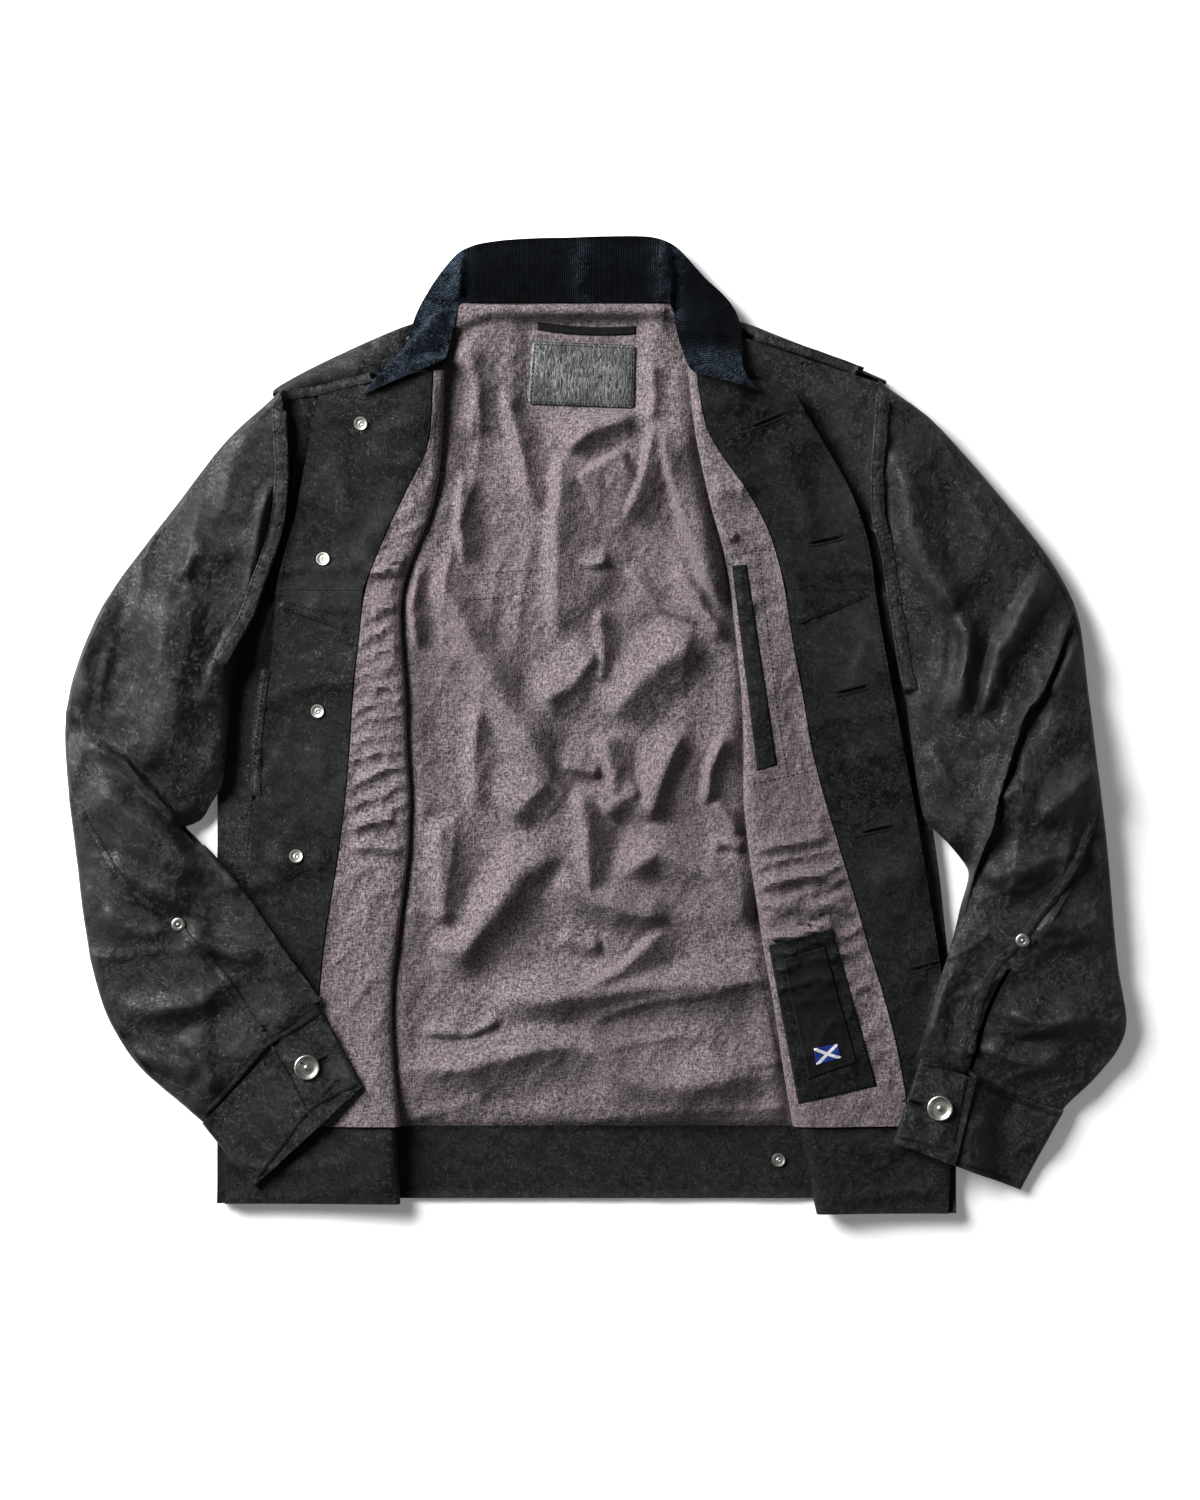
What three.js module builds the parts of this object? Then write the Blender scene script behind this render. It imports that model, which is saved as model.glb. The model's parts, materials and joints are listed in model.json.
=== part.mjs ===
// A waxed cotton jacket laid open on its back, in millimetres: +X to the right, +Y to the collar, +Z up.
// The back rests on the surface. Each front comes over from its side seam and is turned back outward
// at a fold, so its lining and facing show. The sleeves bend at the elbows and their cuffs lie on the fronts.
import * as THREE from "three";

// Driving dimensions
const SHELL = 1.6; // waxed cotton wall
const LINING = 1.1; // lining wall
const FACING = 1.4; // facing wall
const COLLAR = 2.8; // corduroy collar, two layers
const BAND = 2.8; // hem band and cuff, folded double
const LABEL = 1.2; // leather, patch and woven labels
const SEAM = 0.3; // clearance between pieces that are sewn together or lie on each other
const FOLD_LOFT = 7; // air inside a turned-back front at its fold
const FOLD_ROUND = 5; // how far a fold's round edge stands out past its last straight column
const HEM_TOP = -285; // where the panels end and the hem bands begin
const HEM_END = -337;
const YOKE_BACK = 106; // back yoke seam
const YOKE_FRONT = 96; // front yoke seam at the armhole
const CUFF_BUTTON = 18;
const TACK = 10;
const RIVET = 10;

// Colours of the photographed materials
const WAXED = { color: 0x1b1f20, roughness: 0.55 };
const SMOOTH = { color: 0x17191a, roughness: 0.65 };
const CHAMBRAY = { color: 0x6e6768, roughness: 0.95 };
const CORDUROY = { color: 0x10151e, roughness: 0.95 };
const LEATHER = { color: 0x141212, roughness: 0.45 };
const WOVEN = { color: 0x151515, roughness: 0.9 };
const NICKEL = { color: 0xb8b6b0, roughness: 0.3, metalness: 1 };

// A table's header names its columns, and each row becomes an object with those names.
const table = (header, ...rows) =>
  rows.map((row) =>
    Object.fromEntries(header.split(" ").map((name, k) => [name, row[k]])),
  );

// The back: its side edges at each height
const BACK = table(
  "y left right",
  [HEM_END, -270, 256],
  [HEM_TOP, -270, 256],
  [-196, -270, 254],
  [-125, -270, 246],
  [-54, -270, 237],
  [38, -269, 225],
  [69, -259, 220],
  [YOKE_BACK, -245, 214],
  [161, -229, 203],
  [196, -226, 200],
  [226, -228, 202],
);

// The back yoke rises to the shoulder line and rolls over it to the shoulder seam.
const YOKE = table(
  "foot x top seam",
  [-244, -230, 240, 233.5],
  [-205, -190, 262, 240],
  [-160, -150, 279, 246],
  [-124, -120, 291, 251],
  [-108, -106, 297, 256],
  [-98, -97, 299, 294],
  [-50, -50, 299, 294],
  [0, 0, 299, 294],
  [50, 50, 299, 294],
  [60, 60, 299, 292],
  [90, 86, 295, 284],
  [120, 113, 284, 275],
  [180, 165, 264, 258],
  [213, 206, 246, 243.5],
);

// Each front, from its shoulder to its hem. The lower run goes from the fold to the side seam and the upper
// run from the fold to the front edge. At the shoulder the lower run starts rise above the row and drops
// towards the side, and the upper run tilts down towards the front edge.
const FRONT = {
  left: table(
    "y rise drop tilt side fold seam edge",
    [252, 0, 20, 11, -228, -107, -110, -196],
    [222, 0, 17, 9, -226, -108, -112, -201],
    [200, 0, 15, 7, -226, -109, -117, -206],
    [175, 0, 12, 5, -228, -111, -131, -210],
    [146, 0, 8, 3, -233, -118, -145, -215],
    [127, 0, 4, 1, -239, -127, -153, -221],
    [YOKE_FRONT, 0, 0, 0, -248, -138, -165, -228],
    [62, 0, 0, 0, -261, -138, -168, -230],
    [30, 0, 0, 0, -269, -135, -172, -233],
    [-15, 0, 0, 0, -270, -134, -175, -238],
    [-63, 0, 0, 0, -270, -131, -179, -243],
    [-111, 0, 0, 0, -270, -135, -186, -248],
    [-154, 0, 0, 0, -270, -141, -193, -252],
    [-196, 0, 0, 0, -270, -145, -197, -256],
    [-245, 0, 0, 0, -270, -143, -201, -259],
    [HEM_TOP, 0, 0, 0, -270, -138, -204, -261],
    [HEM_END - 3, 0, 0, 0, -270, -135, -205, -264],
  ),
  right: table(
    "y rise drop tilt side fold seam edge",
    [252, 38, 48, 11, 204, 62, 66, 138],
    [222, 26, 36, 9, 202, 66, 73, 153],
    [200, 17, 25, 7, 200, 69, 83, 166],
    [175, 10, 15, 5, 201, 75, 102, 179],
    [146, 4, 8, 2, 205, 82, 119, 189],
    [127, 1, 3, 1, 209, 89, 126, 194],
    [YOKE_FRONT, 0, 0, 0, 216, 95, 134, 198],
    [62, 0, 0, 0, 221, 98, 138, 203],
    [30, 0, 0, 0, 226, 102, 145, 209],
    [-15, 0, 0, 0, 232, 104, 152, 218],
    [-63, 0, 0, 0, 238, 104, 165, 227],
    [-111, 0, 0, 0, 245, 111, 180, 235],
    [-154, 0, 0, 0, 249, 117, 192, 242],
    [-196, 0, 0, 0, 254, 125, 205, 247],
    [-245, 0, 0, 0, 256, 132, 217, 251],
    [HEM_TOP, 0, 0, 0, 256, 139, 222, 253],
    [HEM_END - 10, 0, 0, 0, 256, 152, 222, 250],
  ),
};

// Each sleeve, from armhole to cuff seam, as lines from its outer edge to its inner edge. A line bows
// towards the body, the tube stands loft high, and the back seam lies at the given share of the line.
const SLEEVE = {
  left: table(
    "outX outY inX inY bow loft seam",
    [-231, 240, -272, 36, 13, 5, 0],
    [-258, 211, -273, 2, 7, 8, 0],
    [-290, 170, -274, -33, 3, 10, 0],
    [-319, 132, -277, -58, 0, 10, 0],
    [-345, 98, -286, -70, 0, 9, 0],
    [-368, 52, -292, -71, 0, 8, 0],
    [-378, 14, -293, -73, 0, 8, 0],
    [-379, -18, -289, -77, 0, 15, 0],
    [-374, -68, -280, -86, 0, 16, 0.14],
    [-368, -118, -268, -99, 0, 14, 0.37],
    [-361, -168, -256, -114, 0, 12, 0.55],
    [-349, -209, -243, -132, 0, 11, 0.63],
    [-327, -244, -226, -157, 0, 10, 0.65],
    [-303, -264, -212, -176, 0, 9, 0.65],
    [-282, -281, -199, -194, 0, 7, 0.65],
  ),
  right: table(
    "outX outY inX inY bow loft seam",
    [208, 246, 228, 36, -11, 5, 0],
    [239, 219, 232, 0, -6, 8, 0],
    [270, 185, 237, -36, -2, 10, 0],
    [300, 149, 243, -72, 0, 10, 0],
    [325, 117, 256, -88, 0, 9, 0],
    [342, 86, 267, -101, -4, 9, 0],
    [347, 56, 268, -109, -2, 16, 0],
    [353, 4, 265, -120, 0, 15, 0],
    [359, -44, 261, -133, 0, 14, 0.03],
    [365, -92, 256, -150, 0, 13, 0.2],
    [369, -142, 250, -168, 0, 12, 0.55],
    [374, -186, 243, -190, 0, 11, 0.68],
    [380, -217, 238, -207, 0, 10, 0.73],
    [361, -247, 234, -221, 0, 9, 0.71],
    [334, -272, 230, -234, 0, 7, 0.65],
  ),
};

// Each cuff, from its seam to its lower edge. It buttons over itself at the lap's share of the line.
const CUFF = {
  left: table(
    "outX outY inX inY lap",
    [-280, -283, -198, -196, 0.62],
    [-244, -328, -165, -255, 0.58],
  ),
  right: table(
    "outX outY inX inY lap",
    [333, -274, 229, -236, 0.62],
    [303, -331, 210, -295, 0.53],
  ),
};

// The collar, from its left tip round the neck to its right tip. Its inner part stands rise above its edges.
const NECK = table(
  "neckX neckY outX outY rise",
  [-107, 259, -165, 234, 2],
  [-105, 268, -151, 252, 4],
  [-102, 280, -137, 267, 6],
  [-100, 290, -132, 281, 4],
  [-99, 296, -127, 296, 3],
  [-98, 300, -115, 316, 4],
  [-95, 301, -104, 330, 5],
  [-88, 301, -91, 341, 6],
  [-56, 301, -58, 346, 6],
  [-20, 301, -20, 347, 5],
  [16, 301, 16, 348, 6],
  [42, 301, 44, 347, 6],
  [50, 301, 60, 338, 5],
  [53, 298, 76, 319, 5],
  [55, 292, 94, 303, 4],
  [56, 284, 103, 284, 5],
  [58, 274, 103, 262, 6],
  [61, 263, 105, 248, 4],
  [66, 250, 117, 236, 2],
);

// The lining's largest creases: soft ridges from one end to the other.
const CREASES = table(
  "fromX fromY toX toY high wide",
  [-22, 197, -29, 107, 5, 9],
  [-29, 107, -27, 66, 6, 10],
  [42, 213, 20, 145, 5, 11],
  [45, 216, 70, 126, 6, 11],
  [70, 126, 95, 24, 6, 12],
  [-15, 114, 40, 86, 5, 10],
  [40, 86, 90, 62, 6, 10],
  [-119, 124, -67, 24, 5, 12],
  [-67, 24, -22, -52, 6, 12],
  [-97, 164, -97, 109, 4, 11],
  [-43, 3, 7, 55, 4, 12],
  [16, 7, 72, 57, 4, 12],
  [-107, -63, -102, -141, 4, 11],
  [-83, -172, -60, -117, 4, 11],
  [-60, -117, -20, -99, 4, 11],
  [-34, -110, 52, -144, 4, 11],
  [52, -144, -50, -201, 5, 11],
  [-74, -196, 11, -205, 4, 11],
  [11, -205, 117, -194, 4, 11],
  [-3, -39, -5, -122, 3, 10],
  [18, -115, 47, -101, 4, 11],
  [47, -101, 110, -151, 4, 11],
  [-131, -250, -22, -236, 3, 11],
  [-22, -236, 130, -257, 3, 11],
);

// Folds of the sleeves' upper face, as ridges where the cloth stands up
const SLEEVE_FOLDS = table(
  "fromX fromY toX toY high wide",
  [-338, 60, -352, -5, 4, 9],
  [-296, 92, -306, -30, 5, 10],
  [-262, 60, -276, -40, 3, 9],
  [-372, -10, -300, -60, 3, 12],
  [-340, -60, -262, -150, 4, 12],
  [-350, -120, -290, -200, 3, 11],
  [-330, -220, -262, -170, 3, 10],
  [258, 120, 262, -20, 5, 11],
  [300, 90, 280, -60, 4, 10],
  [338, 40, 300, -80, 4, 12],
  [352, -30, 300, -110, 3, 11],
  [360, -110, 280, -170, 4, 12],
  [366, -190, 262, -212, 3, 11],
);

const lerp = THREE.MathUtils.lerp;
const clamp = THREE.MathUtils.clamp;

// Rows between the table's rows, on a smooth curve through them.
function resample(rows, steps) {
  const names = Object.keys(rows[0]);
  return Array.from({ length: steps + 1 }, (_, k) => {
    const at = (k / steps) * (rows.length - 1);
    const i = Math.min(Math.floor(at), rows.length - 2);
    const t = at - i;
    const row = (n) => rows[clamp(n, 0, rows.length - 1)];
    const blend = (name) => {
      const [a, b, c, d] = [row(i - 1), row(i), row(i + 1), row(i + 2)].map((r) => r[name]);
      const bend = (2 * a - 5 * b + 4 * c - d) * t + (3 * (b - c) + d - a) * t * t;
      return b + 0.5 * t * (c - a + bend);
    };
    return Object.fromEntries(names.map((name) => [name, blend(name)]));
  });
}

// The height of soft ridges at a point: each fades across its width and towards its ends.
function ridges(folds, x, y) {
  let sum = 0;
  for (const fold of folds) {
    const along = new THREE.Vector2(fold.toX - fold.fromX, fold.toY - fold.fromY);
    const from = new THREE.Vector2(x - fold.fromX, y - fold.fromY);
    const share = clamp(from.dot(along) / along.lengthSq(), 0, 1);
    const away = from.addScaledVector(along, -share).length();
    sum += fold.high * Math.exp(-((away / fold.wide) ** 2)) * (0.5 + 2 * share * (1 - share));
  }
  return sum;
}

// The pile is the top of all that has been laid so far, in square cells.
const CELL = 3;
const REACH = 400; // half the side of the square that the pile covers
const SIDE = Math.ceil((2 * REACH) / CELL);
const pile = new Float32Array(SIDE * SIDE).fill(-SEAM);
const cellOf = (value) => clamp(Math.floor((value + REACH) / CELL), 1, SIDE - 2);

function pileTop(x, y) {
  let top = -Infinity;
  for (let j = cellOf(y) - 1; j <= cellOf(y) + 1; j++)
    for (let i = cellOf(x) - 1; i <= cellOf(x) + 1; i++) top = Math.max(top, pile[j * SIDE + i]);
  return top;
}

// Points all over one square of a grid, on the two triangles that the solids split it into
function samples(grid, i, j) {
  const corners = [grid[i][j], grid[i][j + 1], grid[i + 1][j], grid[i + 1][j + 1]];
  const across = Math.max(corners[0].distanceTo(corners[1]), corners[2].distanceTo(corners[3]));
  const down = Math.max(corners[0].distanceTo(corners[2]), corners[1].distanceTo(corners[3]));
  const n = Math.ceil(across / (CELL * 0.7)) + 1;
  const m = Math.ceil(down / (CELL * 0.7)) + 1;
  const found = [];
  for (let a = 0; a <= m; a++)
    for (let b = 0; b <= n; b++) {
      const [v, u] = [a / m, b / n];
      found.push(v > u ? [1 - v, 0, v - u, u] : [1 - u, u - v, 0, v]);
    }
  const point = (weights) => {
    const sum = new THREE.Vector3();
    corners.forEach((corner, k) => sum.addScaledVector(corner, weights[k]));
    return sum;
  };
  return { corners, weights: found, point };
}

function overSquares(grid, visit) {
  for (let i = 0; i + 1 < grid.length; i++)
    for (let j = 0; j + 1 < grid[i].length; j++) visit(samples(grid, i, j));
}

// Lays a grid of lower-face points on the pile: first its points, then each square, is lifted until it
// clears what lies under it, but never higher than the highest thing under that square.
function settle(grid) {
  for (const point of grid.flat()) point.z = Math.max(point.z, pileTop(point.x, point.y) + SEAM);
  for (let pass = 0; pass < 3; pass++)
    overSquares(grid, ({ corners, weights, point }) => {
      const needs = weights.map((w) => {
        const { x, y } = point(w);
        return pileTop(x, y) + SEAM;
      });
      const most = Math.max(...needs);
      weights.forEach((w, n) => {
        const need = needs[n] - point(w).z;
        if (need <= 0) return;
        const sum = w.reduce((total, share) => total + share * share, 0);
        corners.forEach((corner, k) => {
          const lifted = corner.z + (need * w[k]) / sum;
          corner.z = Math.max(corner.z, Math.min(lifted, most));
        });
      });
    });
  return grid;
}

function pileOn(grid) {
  overSquares(grid, ({ weights, point }) => {
    for (const { x, y, z } of weights.map(point)) {
      const cell = cellOf(y) * SIDE + cellOf(x);
      pile[cell] = Math.max(pile[cell], z);
    }
  });
}

const gridOf = (rows, cols, place) =>
  rows.map((row) => Array.from({ length: cols + 1 }, (_, j) => place(row, j / cols)));

// The upper face of a wall that lies flat or nearly so: thicker upwards where the cloth slopes.
function raised(grid, wall) {
  return grid.map((row, i) =>
    row.map((point, j) => {
      const down = grid[Math.min(i + 1, grid.length - 1)][j].clone().sub(grid[Math.max(i - 1, 0)][j]);
      const across = row[Math.min(j + 1, row.length - 1)].clone().sub(row[Math.max(j - 1, 0)]);
      const upright = Math.abs(down.cross(across).normalize().z);
      return point.clone().setZ(point.z + wall / Math.max(upright, 0.6));
    }),
  );
}

// A closed solid between two grids of the same size, one for each face of the cloth.
function solid(one, other) {
  const [rows, cols] = [one.length, one[0].length];
  const position = [...one.flat(), ...other.flat()].flatMap((p) => [p.x, p.y, p.z]);
  const at = (face, i, j) => face * rows * cols + i * cols + j;
  const index = [];
  const quad = (a, b, c, d) => index.push(a, b, c, a, c, d);
  for (let i = 0; i + 1 < rows; i++)
    for (let j = 0; j + 1 < cols; j++) {
      quad(at(0, i, j), at(0, i + 1, j), at(0, i + 1, j + 1), at(0, i, j + 1));
      quad(at(1, i, j), at(1, i, j + 1), at(1, i + 1, j + 1), at(1, i + 1, j));
    }
  for (let i = 0; i + 1 < rows; i++) {
    quad(at(0, i, 0), at(1, i, 0), at(1, i + 1, 0), at(0, i + 1, 0));
    quad(at(0, i, cols - 1), at(0, i + 1, cols - 1), at(1, i + 1, cols - 1), at(1, i, cols - 1));
  }
  for (let j = 0; j + 1 < cols; j++) {
    quad(at(0, 0, j), at(0, 0, j + 1), at(1, 0, j + 1), at(1, 0, j));
    quad(at(0, rows - 1, j), at(1, rows - 1, j), at(1, rows - 1, j + 1), at(0, rows - 1, j + 1));
  }
  const corner = (k) => new THREE.Vector3().fromArray(position, 3 * index[k]);
  let volume = 0;
  for (let k = 0; k < index.length; k += 3) volume += corner(k).dot(corner(k + 1).cross(corner(k + 2)));
  if (volume < 0) index.reverse();
  const geometry = new THREE.BufferGeometry();
  geometry.setAttribute("position", new THREE.Float32BufferAttribute(position, 3));
  geometry.setIndex(index);
  return geometry;
}

const jacket = new THREE.Group();
function add(name, geometry, finish) {
  geometry.computeVertexNormals();
  const mesh = new THREE.Mesh(geometry, new THREE.MeshStandardMaterial(finish));
  mesh.name = name;
  jacket.add(mesh);
  return mesh;
}

// A panel of cloth that lies on the pile. It joins the pile once its neighbours lie beside it.
function lay(name, grid, wall, finish) {
  const top = raised(settle(grid), wall);
  add(name, solid(grid, top), finish);
  return top;
}

// A strip of cloth that turns back on itself. Runs are in order along the strip, each with its lower face,
// upper face and whether its upper face is the strip's outer one. A round edge joins each to the next.
function turned(name, runs, wall, finish, round = FOLD_ROUND) {
  const steps = 4;
  const rows = runs[0].lower.map((_, i) => {
    const outer = [];
    const inner = [];
    runs.forEach((run, k) => {
      outer.push(...(run.up ? run.upper : run.lower)[i]);
      inner.push(...(run.up ? run.lower : run.upper)[i]);
      const next = runs[k + 1];
      if (!next) return;
      const last = outer.at(-1);
      const outward = last.clone().sub(outer.at(-2)).setZ(0).normalize();
      const arc = (from, to, bulge) => {
        const half = to.clone().sub(from).multiplyScalar(0.5);
        return Array.from({ length: steps - 1 }, (_, n) => {
          const turn = (Math.PI * (n + 1)) / steps;
          return from
            .clone()
            .addScaledVector(half, 1 - Math.cos(turn))
            .addScaledVector(outward, bulge * Math.sin(turn));
        });
      };
      const [nextOuter, nextInner] = next.up ? [next.upper, next.lower] : [next.lower, next.upper];
      outer.push(...arc(outer.at(-1), nextOuter[i][0], round));
      inner.push(...arc(inner.at(-1), nextInner[i][0], round - wall));
    });
    return [outer, inner];
  });
  const outer = rows.map((row) => row[0]);
  add(name, solid(outer, rows.map((row) => row[1])), finish);
  return outer;
}

// The back
function layBack() {
  const place = (row, u) => new THREE.Vector3(lerp(row.left, row.right, u), row.y, 0);
  const below = BACK.filter((row) => row.y >= HEM_TOP && row.y <= YOKE_BACK);
  const panel = lay("back_panel", gridOf(trim(below, SEAM, SEAM), 6, place), SHELL, WAXED);
  const band = BACK.filter((row) => row.y <= HEM_TOP);
  const bandGrid = gridOf(trim(resample(band, 2), 0, SEAM), 14, place);
  const bandTop = lay("hem_band_back", bandGrid, BAND, SMOOTH);

  const stations = resample(YOKE, 16);
  const flat = settle(
    gridOf(stations, 3, (row, v) => {
      const y = lerp(YOKE_BACK + SEAM, row.top, v);
      return new THREE.Vector3(lerp(row.foot, row.x, v), y - FOLD_ROUND * 0.6 * v, 0);
    }),
  );
  const flatTop = raised(flat, SHELL);
  for (const grid of [panel, flatTop]) pileOn(grid);
  const lining = layLining();
  for (const grid of [bandTop, lining]) pileOn(grid);
  const over = settle(
    gridOf(stations, 3, (row, v) => {
      const y = lerp(row.top - FOLD_ROUND * 0.6, row.seam + 2 * SEAM, v);
      return new THREE.Vector3(row.x, y, SHELL + 3 + 2 * Math.sin(Math.PI * v));
    }),
  );
  const overTop = raised(over, SHELL);
  const runs = [
    { lower: flat, upper: flatTop, up: false },
    { lower: over, upper: overTop, up: true },
  ];
  pileOn(turned("back_yoke", runs, SHELL, WAXED, FOLD_ROUND * 0.6));
}

// Moves the end rows of a table of heights inwards, so that the neighbours keep their clearance.
function trim(rows, first, last) {
  const end = rows.length - 1;
  const inset = (row, k) => row.y + (k === 0 ? first : 0) - (k === end ? last : 0);
  return rows.map((row, k) => ({ ...row, y: inset(row, k) }));
}

function layLining() {
  const rows = BACK.filter((row) => row.y >= HEM_TOP);
  rows.push(...table("y left right", [250, -190, 172], [276, -140, 118], [292, -98, 54]));
  const place = (row, u) => {
    const x = lerp(row.left + 3, row.right - 3, u);
    const inside = clamp(Math.min(x + 150, 150 - x) / 30, 0, 1);
    return new THREE.Vector3(x, row.y, inside * (SHELL + SEAM + ridges(CREASES, x, row.y)));
  };
  return lay("back_lining", gridOf(trim(resample(rows, 24), SEAM, 0), 20, place), LINING, CHAMBRAY);
}

// A side's front: lower run from the side seam to the fold, upper run from the fold to the front edge
function layFront(side) {
  const yoke = resample(FRONT[side].filter((row) => row.y >= YOKE_FRONT), 8);
  const panel = resample(FRONT[side].filter((row) => row.y <= YOKE_FRONT && row.y >= HEM_TOP), 14);
  const band = resample(FRONT[side].filter((row) => row.y <= HEM_TOP), 3);
  const inward = side === "left" ? 1 : -1;
  const lowY = (row, x) => row.y + row.rise - (row.drop * (x - row.fold)) / (row.side - row.fold);
  const highY = (row, x) => row.y - (row.tilt * (x - row.fold)) / (row.edge - row.fold);
  const shift = (rows, first, last) => trim(rows, -first, -last);

  // The lining's lower run reaches a little way under the front, then wraps the fold.
  const skin = LINING + SEAM;
  const strips = shift(resample(FRONT[side].filter((row) => row.y >= HEM_TOP), 20), 0, SEAM);
  const round = FOLD_ROUND + skin;
  const liningLower = gridOf(strips, 2, (row, u) => {
    const x = row.fold - inward * (round + 26 * (1 - u));
    return new THREE.Vector3(x, lowY(row, x), 0);
  });
  settle(liningLower);
  const liningLowerTop = raised(liningLower, LINING);
  pileOn(liningLowerTop);

  const lowRun = (rows, start) =>
    settle(
      gridOf(rows, 5, (row, u) => {
        const x = lerp(row.side, row.fold - inward * (start + 2.5), u);
        return new THREE.Vector3(x, lowY(row, x), 0);
      }),
    );
  const highRun = (rows, start) =>
    gridOf(rows, 6, (row, u) => {
      const x = lerp(row.fold - inward * (start + 2.5), row.edge, u);
      return new THREE.Vector3(x, highY(row, x), 0);
    });
  const front = (name, rows, wall, finish) => {
    const lower = lowRun(rows, round);
    const lowerTop = raised(lower, wall);
    return { name, rows, wall, finish, lower, lowerTop };
  };
  const pieces = [
    front("front_yoke_" + side, shift(yoke, 0, 0), SHELL, WAXED),
    front("front_panel_" + side, shift(panel, SEAM, 0), SHELL, WAXED),
    front("hem_band_" + side, shift(band, SEAM * 2, 0), BAND, SMOOTH),
  ];
  for (const piece of pieces) pileOn(piece.lowerTop);
  for (const piece of pieces) {
    const high = highRun(piece.rows, round);
    high.forEach((row, i) =>
      row.forEach((point, j) => {
        const u = j / (row.length - 1);
        const fold = piece.lowerTop[i].at(-1).z + FOLD_LOFT;
        point.z = lerp(fold, fold - FOLD_LOFT + 1, Math.min(1, 1.6 * u)) + Math.sin(point.y / 26) * (1 - u);
      }),
    );
    settle(high);
    const highTop = raised(high, piece.wall);
    const runs = [
      { lower: piece.lower, upper: piece.lowerTop, up: false },
      { lower: high, upper: highTop, up: true },
    ];
    piece.outer = turned(piece.name, runs, piece.wall, piece.finish);
  }
  for (const piece of pieces) pileOn(piece.outer);

  const liningUpper = gridOf(strips, 4, (row, u) => {
    const x = lerp(row.fold - inward * round, row.seam, u);
    const close = Math.abs(row.seam - row.fold) < round + 2;
    return new THREE.Vector3(close ? row.fold - inward * (round + 2 * u) : x, highY(row, x), 0);
  });
  settle(liningUpper);
  const liningUpperTop = raised(liningUpper, LINING);
  const runs = [
    { lower: liningLower, upper: liningLowerTop, up: false },
    { lower: liningUpper, upper: liningUpperTop, up: true },
  ];
  const lining = turned("front_lining_" + side, runs, LINING, CHAMBRAY, round);

  const facing = (name, rows) => {
    const grid = gridOf(rows, 5, (row, u) => {
      const least = row.fold - inward * (round + 2 + 3 * SEAM);
      const seam = inward * (row.seam - least) > 0 ? least : row.seam - inward * 3 * SEAM;
      const x = lerp(seam, row.edge, u);
      return new THREE.Vector3(x, highY(row, x), 0);
    });
    return lay(name, grid, FACING, SMOOTH);
  };
  const upper = facing("facing_upper_" + side, shift(yoke, 0, 0));
  const lower = facing("facing_lower_" + side, shift(panel, SEAM, SEAM));
  for (const grid of [lining, upper, lower]) pileOn(grid);
}

// A side's sleeve: the under sleeve lies below and wraps the outer edge as far as the back seam.
function laySleeve(side) {
  const rows = resample(SLEEVE[side], 22);
  const line = (row, t) => {
    const across = new THREE.Vector3(row.inX - row.outX, row.inY - row.outY, 0);
    const point = new THREE.Vector3(row.outX, row.outY, 0).addScaledVector(across, t);
    point.x += row.bow * 4 * t * (1 - t);
    return point;
  };
  const round = 4;
  const edge = (row) => (round + 1) / Math.hypot(row.inX - row.outX, row.inY - row.outY);
  const lower = settle(gridOf(rows, 5, (row, u) => line(row, lerp(1, edge(row), u))));
  const lowerTop = raised(lower, SHELL);
  pileOn(lowerTop);
  const bulge = (t) => 0.3 + 0.7 * Math.sqrt(Math.sin(Math.PI * clamp(t, 0, 1)));
  const air = (row, point, t) =>
    row.loft * bulge(t) + ridges(SLEEVE_FOLDS, point.x, point.y) * Math.min(1, 5 * t * (1 - t));
  const seamAt = (row) => Math.max(row.seam, edge(row) + 0.03);
  const wrap = gridOf(rows, 3, (row, u) => {
    const t = lerp(edge(row), seamAt(row), u);
    const point = line(row, t);
    return point.setZ(SHELL + air(row, point, t));
  });
  const top = gridOf(rows, 6, (row, u) => {
    const t = lerp(seamAt(row) + 0.006, 1, u);
    const point = line(row, t);
    const fall = u === 1 ? 0 : 1;
    return point.setZ(SHELL + fall * air(row, point, t));
  });
  settle(wrap);
  settle(top);
  const [wrapTop, topTop] = [raised(wrap, SHELL), raised(top, SHELL)];
  const runs = [
    { lower, upper: lowerTop, up: false },
    { lower: wrap, upper: wrapTop, up: true },
  ];
  const wrapped = turned("under_sleeve_" + side, runs, SHELL, WAXED, round);
  add("top_sleeve_" + side, solid(top, topTop), WAXED);
  return [wrapped, topTop];
}

// A side's cuff: one strip from the lap's edge, round the inner end, underneath and round the outer end.
// Each run settles at the full width of the cuff, round ends included, and then leaves room for them.
function layCuff(side) {
  const rows = resample(CUFF[side], 4);
  const round = 3.4;
  const end = (row) => (round + 0.5) / Math.hypot(row.inX - row.outX, row.inY - row.outY);
  const point = (row, t) =>
    new THREE.Vector3(lerp(row.outX, row.inX, t), lerp(row.outY, row.inY, t), 0);
  const run = (shares, up) => {
    const whole = settle(rows.map((row) => shares(row).map((t) => point(row, t))));
    const lower = whole.map((row) => row.filter((_, j) => j > 0 && j + 1 < row.length));
    const upper = raised(lower, BAND * 0.75);
    pileOn(upper);
    return { lower, upper, up };
  };
  const spread = (from, to, cols) => Array.from({ length: cols + 1 }, (_, j) => lerp(from, to, j / cols));
  const under = run((row) => [1, ...spread(1 - end(row), end(row), 7), 0], false);
  const over = run((row) => [0, ...spread(end(row), row.lap + 0.1, 6), row.lap + 0.15], true);
  const lap = run((row) => [row.lap - 0.05, ...spread(row.lap, 1 - end(row), 5), 1], true);
  pileOn(turned("cuff_" + side, [lap, under, over], BAND * 0.75, WAXED, round));
}

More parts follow.
